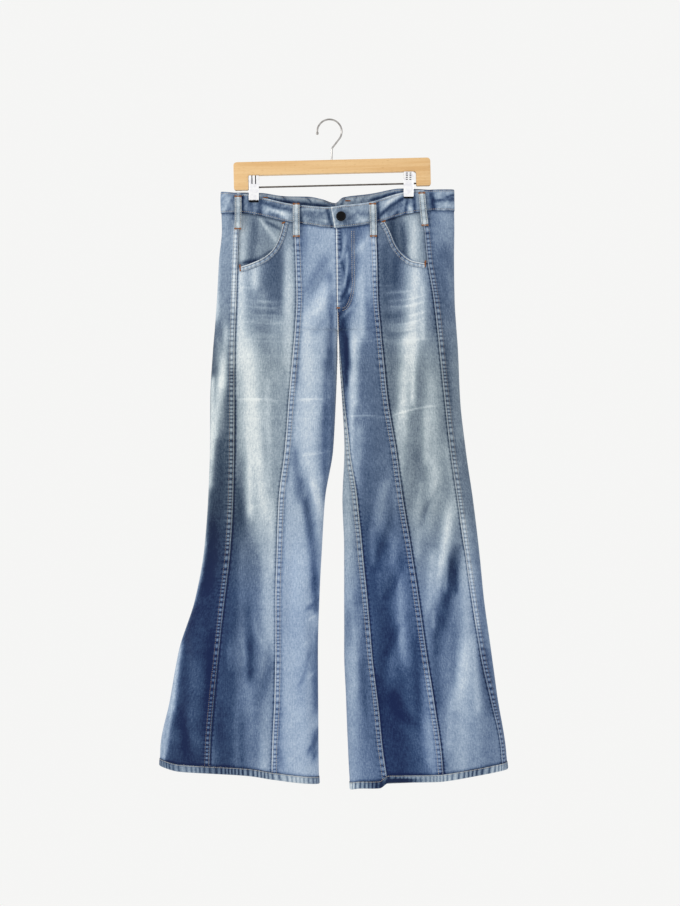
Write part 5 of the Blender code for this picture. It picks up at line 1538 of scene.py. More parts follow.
def add_loop(loop):
    node = f"loop_{loop.name}"
    x = loop.x + loop.lean * (LOOP_DOWN - 0.5) + LOOP_WIDTH * LOOP_ACROSS
    drops = loop.top + LOOP_LENGTH * LOOP_DOWN + 0 * x
    grid = seen_grid(x, drops, loop.front)
    seat = BAND_OUT + LOOP_SEAT + LOOP_BULGE * np.sin(math.pi * LOOP_DOWN) ** 0.7
    if loop.name.startswith("front_side"):
        seat = seat + LOOP_OVER_SEAM
    crown = np.interp(
        LOOP_ACROSS, (-0.5, -0.47, -0.42, -0.34, -0.26, 0, 0.26, 0.34, 0.42, 0.47, 0.5),
        (-0.9, -0.45, -0.3, -0.55, -0.25, -0.15, -0.25, -0.55, -0.3, -0.45, -0.9),
    )
    tack = -0.35 * sum(np.exp(-(((LOOP_DOWN - end) / 0.025) ** 2)) for end in (0.035, 0.965))
    phase = LOOP_DOWN * 9.3 + 0.2 * np.sin(LOOP_DOWN * 17) + 0.3 * LOOP_ACROSS
    uneven = 0.12 * np.sin(2 * math.pi * phase)
    outer = raised(grid, drops, seat + LOOP_WALL + crown + tack + uneven)
    inner = raised(grid, drops, seat + 0.25 * np.abs(LOOP_ACROSS) + 0 * x)
    tone = BASE_TONE["loop"] + np.interp(
        np.abs(LOOP_ACROSS), (0, 0.2, 0.3, 0.34, 0.4, 0.47, 0.5), (0.06, 0.02, -0.14, -0.46, 0.0, 0.14, -0.6)
    )
    tone = tone - 0.14 * np.sin(math.pi * LOOP_DOWN) ** 4 + 0.05 * np.sin(LOOP_DOWN * 31)
    marks = Marks(tone + 0 * x, 0.8 + 0 * x, 0.1 + 0 * x, phase)
    finish_cloth(node, grid, outer, inner, marks)


for loop in LOOPS:
    add_loop(loop)

# %% [markdown]
# ## Sewing
#
# Topstitching is heavy tan thread, about seven stitches an inch, and each stitch is a small pillow whose
# ends sink into the cloth. They are made as one mesh a row, straight from the grids, so that they lie on
# the same ripples. Bartacks are the same thread, packed side by side across the end of a seam.


# %% Thread
# Spun polyester and cotton: matt, with a fine twist that shows as light and dark along it.
THREADS = (
    ("tan_spun_thread", "#AE9F89", "#D6C9B4"),
    ("faded_brown_thread", "#77675B", "#A08F7C"),
    ("amber_spun_thread", "#6A3A12", "#B06C2A"),
)
for thread, dark, light in THREADS:
    add_grained(thread, 900, ((0.3, dark), (0.7, light)), 0.4, Roughness=0.75, Sheen_Weight=0.1)

RING = ((1, 0), (0, 1), (-1, 0), (0, -1))


def add_threads(name, parts, finish, radius):
    """Short threads between pairs of points in millimetres, sunk into the cloth at both ends."""
    starts, ends, normals = (np.concatenate([part[k] for part in parts]) for k in range(3))
    count = len(starts)
    along = ends - starts
    side = np.cross(along, normals)
    side /= np.linalg.norm(side, axis=1, keepdims=True)
    corners = [starts - normals * radius * 0.8]
    for share, lift in ((0.14, 0.1), (0.5, 0.75), (0.86, 0.1)):
        centre = starts + along * share + normals * radius * lift
        for across, up in RING:
            corners.append(centre + side * radius * across + normals * radius * up)
    corners.append(ends - normals * radius * 0.8)
    points = np.stack(corners, axis=1)
    tips, quads = [], []
    for k in range(4):
        n = (k + 1) % 4
        tips += [(0, 1 + n, 1 + k, 1 + k), (13, 9 + k, 9 + n, 9 + n)]
        quads += [(1 + k, 1 + n, 5 + n, 5 + k), (5 + k, 5 + n, 9 + n, 9 + k)]
    first = np.arange(count)[:, None, None] * 14
    three = (np.array(tips)[None, :, :3] + first).reshape(-1, 3)
    four = (np.array(quads)[None] + first).reshape(-1, 4)
    mesh = bpy.data.meshes.new(name)
    mesh.from_pydata((points.reshape(-1, 3) * MM).tolist(), [], three.tolist() + four.tolist())
    mesh.materials.append(MATERIALS[finish])
    mesh.shade_smooth()
    mesh.validate()
    piece = bpy.data.objects.new(name, mesh)
    bpy.context.scene.collection.objects.link(piece)
    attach(piece, "root")
    print(f"{name}: {count} stitches")


# %% Rows of stitches
STITCH_PITCH, STITCH_LENGTH, STITCH_RADIUS = 3.7, 3.0, 0.32


def stitch_ends(line, normals):
    """Start, end and normal of each stitch along a line."""
    run = np.concatenate([[0], np.cumsum(np.linalg.norm(np.diff(line, axis=0), axis=1))])
    count = max(1, int(run[-1] / STITCH_PITCH))
    centres = (np.arange(count) + 0.5) * run[-1] / count

    def read(values, at):
        return np.stack([np.interp(at, run, values[:, k]) for k in range(3)], axis=1)

    reach = STITCH_LENGTH / 2
    return read(line, centres - reach), read(line, centres + reach), read(normals, centres)


def sew(name, lines, finish="tan_spun_thread"):
    add_threads(name, [stitch_ends(*line) for line in lines], finish, STITCH_RADIUS)


def column_line(node, column, below=0.0):
    sheet = CLOTH[node]
    line, normals = sheet.outer[:, column], sheet.outer_normals[:, column]
    kept = -line[:, 2] > below
    return line[kept], normals[kept]


def seam_lines(node, last=False, below=0.0):
    """The two stitched columns of the band on a panel's first edge, or on its last."""
    return [column_line(node, -1 - row if last else row, below) for row in (NEAR_ROW, FAR_ROW)]


def row_line(node, row, inside=False):
    sheet = CLOTH[node]
    if inside:
        return sheet.inner[row], sheet.inner_normals[row]
    return sheet.outer[row], sheet.outer_normals[row]


for leg in LEGS:
    name = leg.name
    centre, back = f"front_centre_{name}", f"back_{name}"
    below = 0.0 if leg is LEFT else CROTCH_DROP + 30
    sew(f"princess_stitches_{name}", seam_lines(centre, last=True))
    sew(f"side_stitches_{name}", seam_lines(back), "faded_brown_thread")
    sew(f"inseam_stitches_{name}", seam_lines(back, last=True, below=below))
    sew(f"hem_stitches_{name}", [row_line(f"hem_{name}", 2)])
    sew(f"waistband_stitches_{name}", [
        row_line(f"waistband_{half}_{name}", row, inside)
        for half in ("front", "back") for row in (TOP_STITCH, LOW_STITCH) for inside in (False, True)
    ])
    sew(f"pocket_stitches_{name}", [row_line(f"pocket_edge_{name}", row) for row in (3, 8)])
for loop in LOOPS:
    sew(f"loop_stitches_{loop.name}", [column_line(f"loop_{loop.name}", c) for c in LOOP_ROWS])


# %% Fly stitches
def on_piece(node, x, drop):
    """A point of the outer face, and its normal, where a piece is seen from in front at x and drop."""
    sheet = CLOTH[node]
    both = np.concatenate([sheet.outer, sheet.outer_normals], axis=2)
    line = np.array([
        [np.interp(drop, -column[:, 2], column[:, k]) for k in range(6)] for column in both.transpose(1, 0, 2)
    ])
    line = line[line[:, 4] < 0]
    line = line[np.argsort(line[:, 0])]
    found = [np.interp(x, line[:, 0], line[:, k]) for k in range(6)]
    return found[:3], found[3:]


def line_on(node, points):
    found = [on_piece(node, x, drop) for x, drop in points]
    return np.array([point for point, _ in found]), np.array([normal for _, normal in found])


HALF_J = 30  # points on each half of the J stitch


def j_line(inset):
    """The J stitch: straight down beside the fly, then a quarter turn in to its end."""
    x0 = 37.5 - inset
    straight = [(x0 + 0.9 * t, 200 + 85 * t) for t in np.linspace(0, 1, HALF_J)]
    turn = [
        (CENTRE_X + 11 + (x0 - 9.5 - CENTRE_X) * math.cos(a), 285 + (58 - inset) * math.sin(a))
        for a in np.linspace(0.04, math.pi / 2, HALF_J)
    ]
    return straight + turn


FLY_EDGE = [(CENTRE_X + 3.2, drop) for drop in np.linspace(198, FLY_BOTTOM - 2, 40)]
sew("fly_stitches", [
    line_on("front_centre_right", points) for points in (j_line(0), j_line(4.2), FLY_EDGE)
])
BELOW_FLY = [
    (CENTRE_X + 3.4 + 0.05 * (drop - FLY_BOTTOM), drop)
    for drop in np.linspace(FLY_BOTTOM + 4, CROTCH_DROP - 4, 12)
]
sew("crotch_stitches", [line_on("front_centre_right", BELOW_FLY)])


# %% Bartacks
TACK_PITCH, TACK_RADIUS = 0.55, 0.3  # of a bartack's threads


def tack_ends(centre, direction, normal, width, height):
    """Threads packed side by side over a width, each as long as the tack is high."""
    centre, direction, normal = (np.array(v, float) for v in (centre, direction, normal))
    direction = direction - normal * direction.dot(normal)
    direction /= np.linalg.norm(direction)
    across = np.cross(normal, direction)
    steps = np.arange(-width / 2, width / 2 + 0.01, TACK_PITCH)[:, None]
    middle = centre + normal * 0.15 + direction * steps
    reach = across * height / 2
    return middle - reach, middle + reach, np.repeat(normal[None], len(steps), axis=0)


def add_tacks(name, tacks):
    add_threads(name, [tack_ends(*tack) for tack in tacks], "amber_spun_thread", TACK_RADIUS)


# A loop's bartack is sewn back and forth, so its two ends stand higher than its middle.
LOOP_TACK_PARTS = ((3, 3.6, 4.0), (6, 6.0, 2.2), (9, 3.6, 4.0))  # column, width and height
for loop in LOOPS:
    sheet = CLOTH[f"loop_{loop.name}"]
    tacks = [
        (sheet.outer[row, column], (1, 0, 0), sheet.outer_normals[row, column], width, height)
        for row in (1, -2) for column, width, height in LOOP_TACK_PARTS
    ]
    add_tacks(f"bartacks_{loop.name}", tacks)

# Where a tack is seen (x and drop), the way it runs, and its width and height.
FRONT_TACKS = (
    ("front_centre_right", 9.3, 338.5, (1, 0, 0), 6, 3.0),
    ("pocket_edge_left", -88.5, 185.5, (1, 0, 0.1), 7, 3.4),
    ("pocket_edge_right", 91.0, 183.5, (1, 0, 0.4), 7, 3.4),
    ("pocket_edge_left", -166.5, 266.5, (0.1, 0, -1), 12, 3.2),
    ("pocket_edge_right", 165.0, 259.5, (-0.1, 0, -1), 12, 3.2),
)
INSIDE_TACKS = tuple(
    (f"waistband_back_{half}", x, drop, (1, 0, 0), 9, 2.8)
    for half, x, drop in (("left", -122.5, 137.5), ("right", 27, 142.0), ("right", 178, 133.0))
)


def tack_on(node, x, drop, direction, width, height, inside=False):
    """A bartack at the point of a cloth piece that lies nearest to where it is seen."""
    sheet = CLOTH[node]
    points, normals = (sheet.inner, sheet.inner_normals) if inside else (sheet.outer, sheet.outer_normals)
    away = (points[:, :, 0] - x) ** 2 + (points[:, :, 2] + drop) ** 2 + 1e6 * (normals[:, :, 1] > 0)
    place = np.unravel_index(np.argmin(away), away.shape)
    return points[place], direction, normals[place], width, height


add_tacks("bartacks_front", [tack_on(*tack) for tack in FRONT_TACKS])
add_tacks("bartacks_inside", [tack_on(*tack, inside=True) for tack in INSIDE_TACKS])

# %% [markdown]
# ## The hanger's metals, rubber and wood
#
# The hanger is sawn from a beech board, sanded and lacquered clear. Beech has a fine straight grain with
# short darker flecks. The hook is chrome-plated wire and the clips are pressed steel, plated bright, while
# the rod and the springs are plain drawn wire, so they are darker. Black rubber pads grip the cloth.


# %% Wood
HANGER_TILT = math.radians(1.4)


def add_beech():
    # Beech, planed along the grain, sanded and lacquered: satin, pink-blond, with fine lines and flecks.
    tree, shader = new_material("lacquered_beech", Roughness=0.42, Coat_Weight=0.22, Coat_Roughness=0.3)
    place = add_node(tree, "TexCoord").outputs["Object"]
    level = add_node(tree, "Mapping", {"Vector": place, "Rotation": (0, HANGER_TILT, 0)}).outputs[0]
    # One growth line is about 1.5 mm high and 120 mm long. A fleck is 3 mm long.
    lines = noise(tree, level, (9, 150, 520), 3)
    bands = noise(tree, level, (5, 40, 90), 2)
    flecks = noise(tree, level, (120, 500, 1500), 0)
    total = calculate(tree, "MULTIPLY_ADD", bands, 1.3, lines)
    stops = ((0.0, "#D3A76D"), (0.5, "#DCB47D"), (1.0, "#E2BD88"))
    colour = colour_by(tree, rescale(tree, total, 0.85, 1.45), stops)
    mixed = mix_colours(tree, rescale(tree, flecks, 0.64, 0.9), colour, linear("#B98A52"))
    finish_surface(tree, shader, mixed, lines, 0.25, 0.0002)


add_beech()


# %% Metals
def add_metal(name, colour, worn, rough, grain):
    """A metal whose colour and roughness drift a little, with fine lines from drawing or pressing."""
    tree, shader = new_material(name, Metallic=1.0)
    place = add_node(tree, "TexCoord").outputs["Object"]
    smears, scratches = noise(tree, place, 160, 3), noise(tree, place, grain, 2)
    roughness = rescale(tree, scratches, low=rough - 0.08, high=rough + 0.12)
    tree.links.new(roughness, shader.inputs["Roughness"])
    stops = ((0.35, worn), (0.6, colour))
    finish_surface(tree, shader, colour_by(tree, smears, stops), scratches, 0.15)


# Chrome over drawn wire: bright, with faint lines along the wire.
add_metal("chrome_plated_wire", "#B9B7B5", "#8E8A87", 0.22, (900, 900, 60))
# Pressed sheet steel with bright zinc: nearly white, with blurred reflections.
add_metal("zinc_plated_sheet", "#FDFDFE", "#EEEDF3", 0.34, (1400, 1400, 90))
# A near-black dull sheet, painted as the shade inside the clip's fold where little light reaches.
add_metal("shaded_inner_sheet", "#2A2830", "#16151A", 0.7, (1400, 1400, 90))
# Drawn steel wire, left bare and gone dull.
add_metal("dull_drawn_steel", "#77706A", "#57504B", 0.48, (60, 900, 900))


# %% Rubber and black lacquer
# Moulded rubber: matt black with a fine dusty grain.
add_grained(
    "moulded_black_rubber", 900, ((0.4, "#050507"), (0.75, "#101013")), 0.3,
    Roughness=0.85, Specular_IOR_Level=0.08,
)


def add_black_lacquer(centre, radius):
    # Lacquer baked on brass: near-black and satin, rubbed a little paler round the rim.
    tree, shader = new_material("baked_black_lacquer", Metallic=0.0, Specular_IOR_Level=0.12)
    place = add_node(tree, "TexCoord").outputs["Object"]
    centred = add_node(tree, "Mapping", {"Vector": place, "Location": [-c for c in centre]})
    flat = add_node(tree, "VectorMath", {0: centred.outputs[0], 1: (1, 0, 1)}, operation="MULTIPLY")
    away = add_node(tree, "VectorMath", {0: flat.outputs[0]}, operation="LENGTH").outputs["Value"]
    specks = noise(tree, place, 1100, 2)
    worn = calculate(tree, "MULTIPLY", specks, rescale(tree, away, radius * 0.72, radius * 0.9))
    stops = ((0.0, "#060608"), (0.5, "#101014"), (0.75, "#3A3732"))
    finish_surface(tree, shader, colour_by(tree, worn, stops), specks, 0.1)
    tree.links.new(rescale(tree, specks, low=0.45, high=0.7), shader.inputs["Roughness"])


# %% [markdown]
# ## Modelling by hand in edit mode
#
# Hard pieces start from a primitive, as they would by hand. Its place is applied first, so that what the
# code picks is measured from the hook, like everything else. `pick` selects faces, edges or points by their
# place, and the operators then extrude, bevel, cut or move what is selected.


# %% Picking and finishing
def metres(*lengths):
    """Lengths that are given in millimetres."""
    return [length * MM for length in lengths]


def clear_selection():
    bpy.ops.object.select_all(action="DESELECT")


def apply_place():
    bpy.ops.object.transform_apply(location=True, rotation=True, scale=True)


def join_to(piece):
    """Joins the selected object to a piece."""
    piece.select_set(True)
    bpy.context.view_layer.objects.active = piece
    bpy.ops.object.join()


def begin(name):
    """Names the new primitive, applies its place and opens it in edit mode."""
    piece = bpy.context.object
    piece.name = name
    apply_place()
    bpy.ops.object.mode_set(mode="EDIT")
    return piece


def pick(kind, test):
    """Selects only the faces, edges or points that pass a test on their middle, in millimetres."""
    bpy.ops.mesh.select_mode(type=kind)
    bpy.ops.mesh.select_all(action="DESELECT")
    mesh = bmesh.from_edit_mesh(bpy.context.object.data)
    parts = {"FACE": mesh.faces, "EDGE": mesh.edges, "VERT": mesh.verts}[kind]
    count = 0
    for part in parts:
        corners = [part] if kind == "VERT" else part.verts
        middle = sum((v.co for v in corners), Vector()) / len(corners) / MM
        if test(middle, part):
            part.select_set(True)
            count += 1
    bmesh.update_edit_mesh(bpy.context.object.data)
    return count


def cut_square_to(axis, places):
    """Cuts the whole mesh by planes square to an axis, at places in millimetres."""
    for place in places:
        bpy.ops.mesh.select_all(action="SELECT")
        point, normal = [0.0, 0.0, 0.0], [0, 0, 0]
        point[axis], normal[axis] = place * MM, 1
        bpy.ops.mesh.bisect(plane_co=point, plane_no=normal)


def extrude_by(x, y, z):
    bpy.ops.mesh.extrude_region_move(TRANSFORM_OT_translate={"value": metres(x, y, z)})


def move_by(x, y, z):
    bpy.ops.transform.translate(value=metres(x, y, z))


SHARP_ANGLE = 50  # degrees, past which an edge is rounded


def apply_modifier(piece, kind, **settings):
    made = piece.modifiers.new(kind.lower(), kind)
    for name, value in settings.items():
        setattr(made, name, value)
    bpy.ops.object.modifier_apply(modifier=made.name)


def round_edges(piece, width, segments):
    """Bevels a hard piece's sharp edges, by a width in millimetres."""
    limit = math.radians(SHARP_ANGLE)
    apply_modifier(
        piece, "BEVEL", width=width * MM, segments=segments, limit_method="ANGLE", angle_limit=limit
    )


def hang_level(piece):
    """Tilts a piece modelled square about the middle of the wood's top, as the hanger hangs."""
    piece.rotation_euler = (0, -HANGER_TILT, 0)
    piece.location = metres(HANGER_X, 0, -HANGER_DROP)
    apply_place()


def finish_hard(piece, node, finish, angle=32):
    """Closes a hard piece: normals, shading, finish, body and solid."""
    bpy.ops.object.mode_set(mode="EDIT")
    bpy.ops.mesh.select_all(action="SELECT")
    bpy.ops.mesh.normals_make_consistent(inside=False)
    bpy.ops.object.mode_set(mode="OBJECT")
    bpy.ops.object.shade_smooth_by_angle(angle=math.radians(angle))
    if not piece.data.materials:
        piece.data.materials.append(MATERIALS[finish])
    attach(piece, "root")
    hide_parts(node)
    piece.select_set(False)
    print(f"{piece.name}: {len(piece.data.polygons)} faces, {[round(d / MM) for d in piece.dimensions]} mm")


# %% [markdown]
# ## Wooden hanger
#
# It is an upside-down U sawn from one board. A cube the size of its bar is cut across where the legs begin,
# their faces are extruded down, the corners get their radii, and a bevel modifier eases every other edge.
# A hole in its top takes the hook, and one in each leg takes the rod: each is cut by a cylinder.

# %% Hanger wood
HANGER_X, HANGER_DROP = -2.2, 71.1
HANGER_WIDTH, HANGER_HEIGHT, HANGER_THICK, BAR_HEIGHT, HANGER_LEG = 354.0, 50.4, 12.0, 24.5, 26.2
ROD_BELOW_TOP, ROD_RADIUS, ROD_SEAT, RUNNING_GAP = 45.4, 1.5, 8.0, 0.3
WIRE_RADIUS, HOOK_SEAT, STEM_X = 1.6, 18.0, -2.5


def add_hanger_wood():
    half, inner = HANGER_WIDTH / 2, HANGER_WIDTH / 2 - HANGER_LEG
    bpy.ops.mesh.primitive_cube_add(size=1, location=metres(0, 0, -BAR_HEIGHT / 2))
    bpy.context.object.scale = metres(HANGER_WIDTH, HANGER_THICK, BAR_HEIGHT)
    wood = begin("hanger_wood_board")
    cut_square_to(0, (-inner, inner))
    pick("FACE", lambda at, face: face.normal.z < -0.9 and abs(at.x) > inner)
    extrude_by(0, 0, BAR_HEIGHT - HANGER_HEIGHT)
    corners = (
        (half, 0, 6.0), (half, -HANGER_HEIGHT, 4.0), (inner, -HANGER_HEIGHT, 2.0), (inner, -BAR_HEIGHT, 3.0)
    )
    for x, z, radius in corners:
        pick("EDGE", lambda at, edge: abs(abs(at.x) - x) < 0.1 and abs(at.z - z) < 0.1 and abs(at.y) < 0.1)
        bpy.ops.mesh.bevel(offset=radius * MM, segments=6, affect="EDGES")
    bpy.ops.object.mode_set(mode="OBJECT")
    round_edges(wood, 1.9, 3)
    holes = [((STEM_X - HANGER_X, 0, 0), WIRE_RADIUS, 2 * HOOK_SEAT + 1, 0)]
    for way in (-1, 1):
        holes.append(((way * inner, 0, -ROD_BELOW_TOP), ROD_RADIUS, 2 * ROD_SEAT + 1, math.pi / 2))
    for centre, radius, length, turn in holes:
        clear_selection()
        bpy.ops.mesh.primitive_cylinder_add(
            vertices=24, radius=(radius + RUNNING_GAP) * MM, depth=length * MM,
            location=metres(*centre), rotation=(0, turn, 0),
        )
        drill = bpy.context.object
        bpy.context.view_layer.objects.active = wood
        apply_modifier(wood, "BOOLEAN", object=drill, operation="DIFFERENCE")
        bpy.data.objects.remove(drill)
    wood.select_set(True)
    hang_level(wood)
    finish_hard(wood, "hanger_wood", "lacquered_beech")


clear_selection()
add_hanger_wood()

# %% [markdown]
# ## Hook and rod
#
# The hook is one bent wire. A circle of its thickness is spun round the bow's centre, drawn out straight,
# spun back the other way into the neck, and drawn down into the wood. Its tip is upset into a small ball.

# %% Hook
HOOK_RADIUS, HOOK_X, HOOK_DROP = 22.0, -6.3, 19.4
HOOK_TIP, HOOK_END = 188.0, -38.0  # the bow's ends, in degrees round from +X
NECK_RADIUS, TIP_RADIUS = 9.0, 2.5


def on_bow(degrees):
    turn = math.radians(degrees)
    return HOOK_X + HOOK_RADIUS * math.cos(turn), -HOOK_DROP + HOOK_RADIUS * math.sin(turn)


def add_hook():
    tip_x, tip_z = on_bow(HOOK_TIP)
    bpy.ops.mesh.primitive_circle_add(
        vertices=16, radius=WIRE_RADIUS * MM, location=metres(tip_x, 0, tip_z),
        rotation=(0, -math.radians(HOOK_TIP), 0),
    )
    hook = begin("hanger_hook_wire")
    bpy.ops.mesh.select_all(action="SELECT")
    bpy.ops.mesh.spin(
        steps=44, angle=math.radians(HOOK_TIP - HOOK_END),
        center=metres(HOOK_X, 0, -HOOK_DROP), axis=(0, -1, 0),
    )
    lean = math.radians(-HOOK_END)
    end_x, end_z = on_bow(HOOK_END)
    neck_x = STEM_X + 17 * math.tan(HANGER_TILT)  # the stem leans with the hanger, over 17 mm
    run = (end_x - neck_x - NECK_RADIUS * (1 - math.cos(lean))) / math.sin(lean)
    extrude_by(-run * math.sin(lean), 0, -run * math.cos(lean))
    low_x, low_z = end_x - run * math.sin(lean), end_z - run * math.cos(lean)
    centre = (low_x + NECK_RADIUS * math.cos(lean), low_z - NECK_RADIUS * math.sin(lean))
    bpy.ops.mesh.spin(steps=8, angle=lean, center=metres(centre[0], 0, centre[1]), axis=(0, 1, 0))
    down = HANGER_DROP + HOOK_SEAT - 1 + centre[1]
    extrude_by(down * math.tan(HANGER_TILT) * -1, 0, -down)
    bpy.ops.mesh.select_all(action="SELECT")
    bpy.ops.mesh.fill_holes(sides=0)
    bpy.ops.object.mode_set(mode="OBJECT")
    bpy.ops.mesh.primitive_uv_sphere_add(
        segments=20, ring_count=12, radius=TIP_RADIUS * MM, location=metres(tip_x, 0, tip_z)
    )
    bpy.context.object.scale = (1, 1, 1.15)
    apply_place()
    join_to(hook)
    finish_hard(hook, "hanger_hook", "chrome_plated_wire", angle=50)
    print("hook's neck ends at x", round(centre[0] - NECK_RADIUS, 1), "mm")


clear_selection()
add_hook()


# %% Rod
def add_rod():
    reach = HANGER_WIDTH / 2 - HANGER_LEG + ROD_SEAT - RUNNING_GAP
    bpy.ops.mesh.primitive_cylinder_add(
        vertices=20, radius=ROD_RADIUS * MM, depth=2 * reach * MM,
        location=metres(0, 0, -ROD_BELOW_TOP), rotation=(0, math.pi / 2, 0),
    )
    rod = begin("hanger_rod_wire")
    pick("EDGE", lambda at, edge: abs(abs(at.x) - reach) < 0.1)
    bpy.ops.mesh.bevel(offset=0.4 * MM, segments=2, affect="EDGES")
    bpy.ops.object.mode_set(mode="OBJECT")
    hang_level(rod)
    finish_hard(rod, "hanger_rod", "dull_drawn_steel")


clear_selection()
add_rod()

# %% [markdown]
# ## Clips
#
# Each clip is two jaws of pressed sheet round a coil spring that slides on the rod. A jaw starts as a plane:
# it is cut into rows and columns, the faces of its slots are deleted, its grip is bent out row by row, and
# a Solidify modifier gives the sheet its thickness. The left clip has two long slots, the right one eight
# short ones. The spring is a small circle on a Screw modifier.

# %% Clip sizes
CLIP_ABOVE, CLIP_BELOW, CLIP_SHEET, CLIP_OPEN = 20.3, 25.8, 1.2, 7.5
PAD_THICK, PAD_HEIGHT, PAD_SHOWS = 1.5, 6.0, 1.4
PAD_FACE = PINCH_DEPTH + BAND_OUT + SEAM_GAP
JAW_FACE = PAD_FACE + PAD_THICK + RUNNING_GAP
COIL_WIRE, COIL_RADIUS, COIL_TURNS, COIL_PITCH = 0.7, 3.7, 10, 1.46
Slot = namedtuple("Slot", "left right low high")  # from the clip's middle, and from its top
LONG_SLOTS = (Slot(-4.2, -2.3, -15.0, 0.5), Slot(2.3, 4.2, -15.0, 0.5))
SHORT_SLOTS = tuple(
    Slot(x - 1.7, x + 1.7, z - 0.8, z + 0.8) for x in (-3.2, 3.2) for z in (-2.6, -6.2, -9.8, -13.4)
)


# %% Jaws
TEETH = 6
SHADE_LINING = (12.5, 1.0, 15.5)  # width, thickness and height


def add_painted_shade_lining(jaw, clip_x, top):
    """A near-black sheet behind the slots, painted as the shade inside the clip, which shows dark through
    them.
    """
    jaw.data.materials.append(MATERIALS["zinc_plated_sheet"])
    clear_selection()
    bpy.ops.mesh.primitive_cube_add(
        size=1, location=metres(clip_x, -(CLIP_OPEN - 1.9), top - SHADE_LINING[2] / 2 - 0.8),
        rotation=(math.atan((CLIP_OPEN - JAW_FACE) / 22), 0, 0), scale=metres(*SHADE_LINING),
    )
    shade_lining = bpy.context.object
    apply_place()
    shade_lining.data.materials.append(MATERIALS["shaded_inner_sheet"])
    join_to(jaw)


def add_jaw(side, clip_x, rod_z, way, where):
    top, bottom = rod_z + CLIP_ABOVE, rod_z - CLIP_BELOW + 1.5
    slots = () if where == "back" else LONG_SLOTS if side == "left" else SHORT_SLOTS
    bpy.ops.mesh.primitive_plane_add(
        size=1, location=metres(clip_x, way * JAW_FACE, (top + bottom) / 2),
        rotation=(way * -math.pi / 2, 0, 0),
    )
    bpy.context.object.scale = (CLIP_WIDTH * MM, (top - bottom) * MM, 1)
    jaw = begin(f"clip_{side}_jaw_{where}_sheet")
    pick("VERT", lambda at, vert: True)
    bpy.ops.mesh.bevel(offset=1.3 * MM, segments=3, affect="VERTICES")
    bends = (top - 6, rod_z + 6)
    rows = sorted({z + top for slot in slots for z in (slot.low, slot.high) if z < 0})
    cut_square_to(2, (*rows, *bends, rod_z - 6, rod_z - 16))
    cut_square_to(0, sorted({clip_x + x for slot in slots for x in (slot.left, slot.right)}))

    def in_slot(at, face):
        return any(
            slot.left < at.x - clip_x < slot.right and slot.low < at.z - top < slot.high for slot in slots
        )

    if pick("FACE", in_slot):
        bpy.ops.mesh.delete(type="FACE")
    pick("VERT", lambda at, vert: at.z > bends[0] + 0.05)
    move_by(0, way * (CLIP_OPEN - JAW_FACE), 0)
    for row in sorted({round(z, 3) for z in (*rows, *bends) if bends[1] + 0.05 < z < bends[0] + 0.05}):
        pick("VERT", lambda at, vert: abs(at.z - row) < 0.05)
        move_by(0, way * (CLIP_OPEN - JAW_FACE) * (row - bends[1]) / (bends[0] - bends[1]), 0)
    if side == "left":  # a toothed edge, where the other clip's is plain
        lines = np.linspace(clip_x - CLIP_WIDTH / 2 + 1.3, clip_x + CLIP_WIDTH / 2 - 1.3, 2 * TEETH + 1)
        cut_square_to(0, lines[1:-1])
        for line in lines[1::2]:
            pick("VERT", lambda at, vert: abs(at.x - line) < 0.05 and at.z < bottom + 0.1)
            move_by(0, 0, 1.5)
    bpy.ops.object.mode_set(mode="OBJECT")
    apply_modifier(jaw, "SOLIDIFY", thickness=CLIP_SHEET * MM, offset=1.0)
    round_edges(jaw, 0.3, 2)
    if slots:
        add_painted_shade_lining(jaw, clip_x, top)
    finish_hard(jaw, f"clip_{side}_jaw_{where}", "zinc_plated_sheet")


# %% Pads
def add_pad(side, clip_x, rod_z, way, where):
    bottom = rod_z - CLIP_BELOW
    low, high, half = bottom - PAD_SHOWS, bottom + PAD_HEIGHT, (CLIP_WIDTH - CLIP_SHEET) / 2
    middle = way * (PAD_FACE + PAD_THICK / 2)
    bpy.ops.mesh.primitive_cube_add(size=1, location=metres(clip_x, middle, (low + high) / 2))
    bpy.context.object.scale = metres(2 * half, PAD_THICK, high - low)
    pad = begin(f"clip_{side}_pad_{where}_rubber")
    bpy.ops.object.mode_set(mode="OBJECT")
    round_edges(pad, 0.25, 2)
    finish_hard(pad, f"clip_{side}_pad_{where}", "moulded_black_rubber")


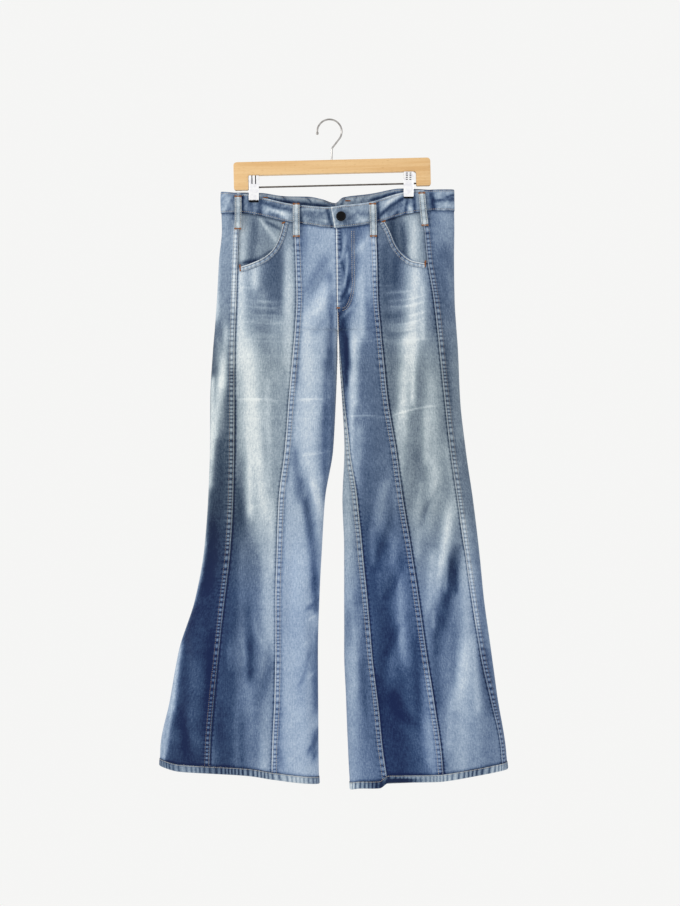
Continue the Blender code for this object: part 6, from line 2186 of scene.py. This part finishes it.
# %% Springs
def add_spring(side, clip_x, rod_z):
    bpy.ops.mesh.primitive_circle_add(vertices=8, radius=COIL_WIRE * MM, rotation=(math.pi / 2, 0, 0))
    spring = begin(f"clip_{side}_spring_coil")
    pick("VERT", lambda at, vert: True)
    move_by(-COIL_TURNS * COIL_PITCH / 2, 0, COIL_RADIUS)
    bpy.ops.object.mode_set(mode="OBJECT")
    apply_modifier(
        spring, "SCREW", axis="X", steps=24, render_steps=24, iterations=COIL_TURNS,
        screw_offset=COIL_PITCH * MM, use_merge_vertices=False,
    )
    bpy.ops.object.mode_set(mode="EDIT")
    bpy.ops.mesh.select_all(action="SELECT")
    bpy.ops.mesh.remove_doubles(threshold=0.00001)
    bpy.ops.mesh.fill_holes(sides=0)
    bpy.ops.object.mode_set(mode="OBJECT")
    spring.rotation_euler = (0, -HANGER_TILT, 0)
    spring.location = metres(clip_x, 0, rod_z)
    apply_place()
    finish_hard(spring, f"clip_{side}_spring", "dull_drawn_steel", angle=60)


# %% Both clips
for clip_x, side in zip(CLIP_X, ("left", "right")):
    rod_z = -HANGER_DROP - ROD_BELOW_TOP + (clip_x - HANGER_X) * math.tan(HANGER_TILT)
    for way, where in ((-1, "front"), (1, "back")):
        for add_piece in (add_jaw, add_pad):
            clear_selection()
            add_piece(side, clip_x, rod_z, way, where)
    clear_selection()
    add_spring(side, clip_x, rod_z)

# %% [markdown]
# ## Button
#
# A jeans button is a pressed shell over a shank. A cylinder's front edge is rounded by a bevel, and its face
# is inset twice: once down into the dish, and once more to crown the middle.


# %% Waistband button
def add_button():
    low, high = (Vector(corner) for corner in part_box("button"))
    centre, radius, depth = (low + high) / 2, (high.x - low.x) / 2, high.y - low.y
    add_black_lacquer(centre, radius)
    bpy.ops.mesh.primitive_cylinder_add(
        vertices=48, radius=radius, depth=depth, location=centre, rotation=(math.pi / 2, 0, 0)
    )
    button = begin("button_shell")
    front = low.y / MM
    pick("EDGE", lambda at, edge: abs(at.y - front) < 0.05)
    bpy.ops.mesh.bevel(offset=1.7 * MM, segments=5, affect="EDGES")
    for inset, sink in ((1.2, -0.2), (0.5, -0.45), (2.2, 0.12), (1.4, 0.12)):
        pick("FACE", lambda at, face: face.normal.y < -0.99 and len(face.verts) > 4)
        bpy.ops.mesh.inset(thickness=inset * MM, depth=sink * MM)
    bpy.ops.object.mode_set(mode="OBJECT")
    finish_hard(button, "button", "baked_black_lacquer", angle=40)


clear_selection()
add_button()
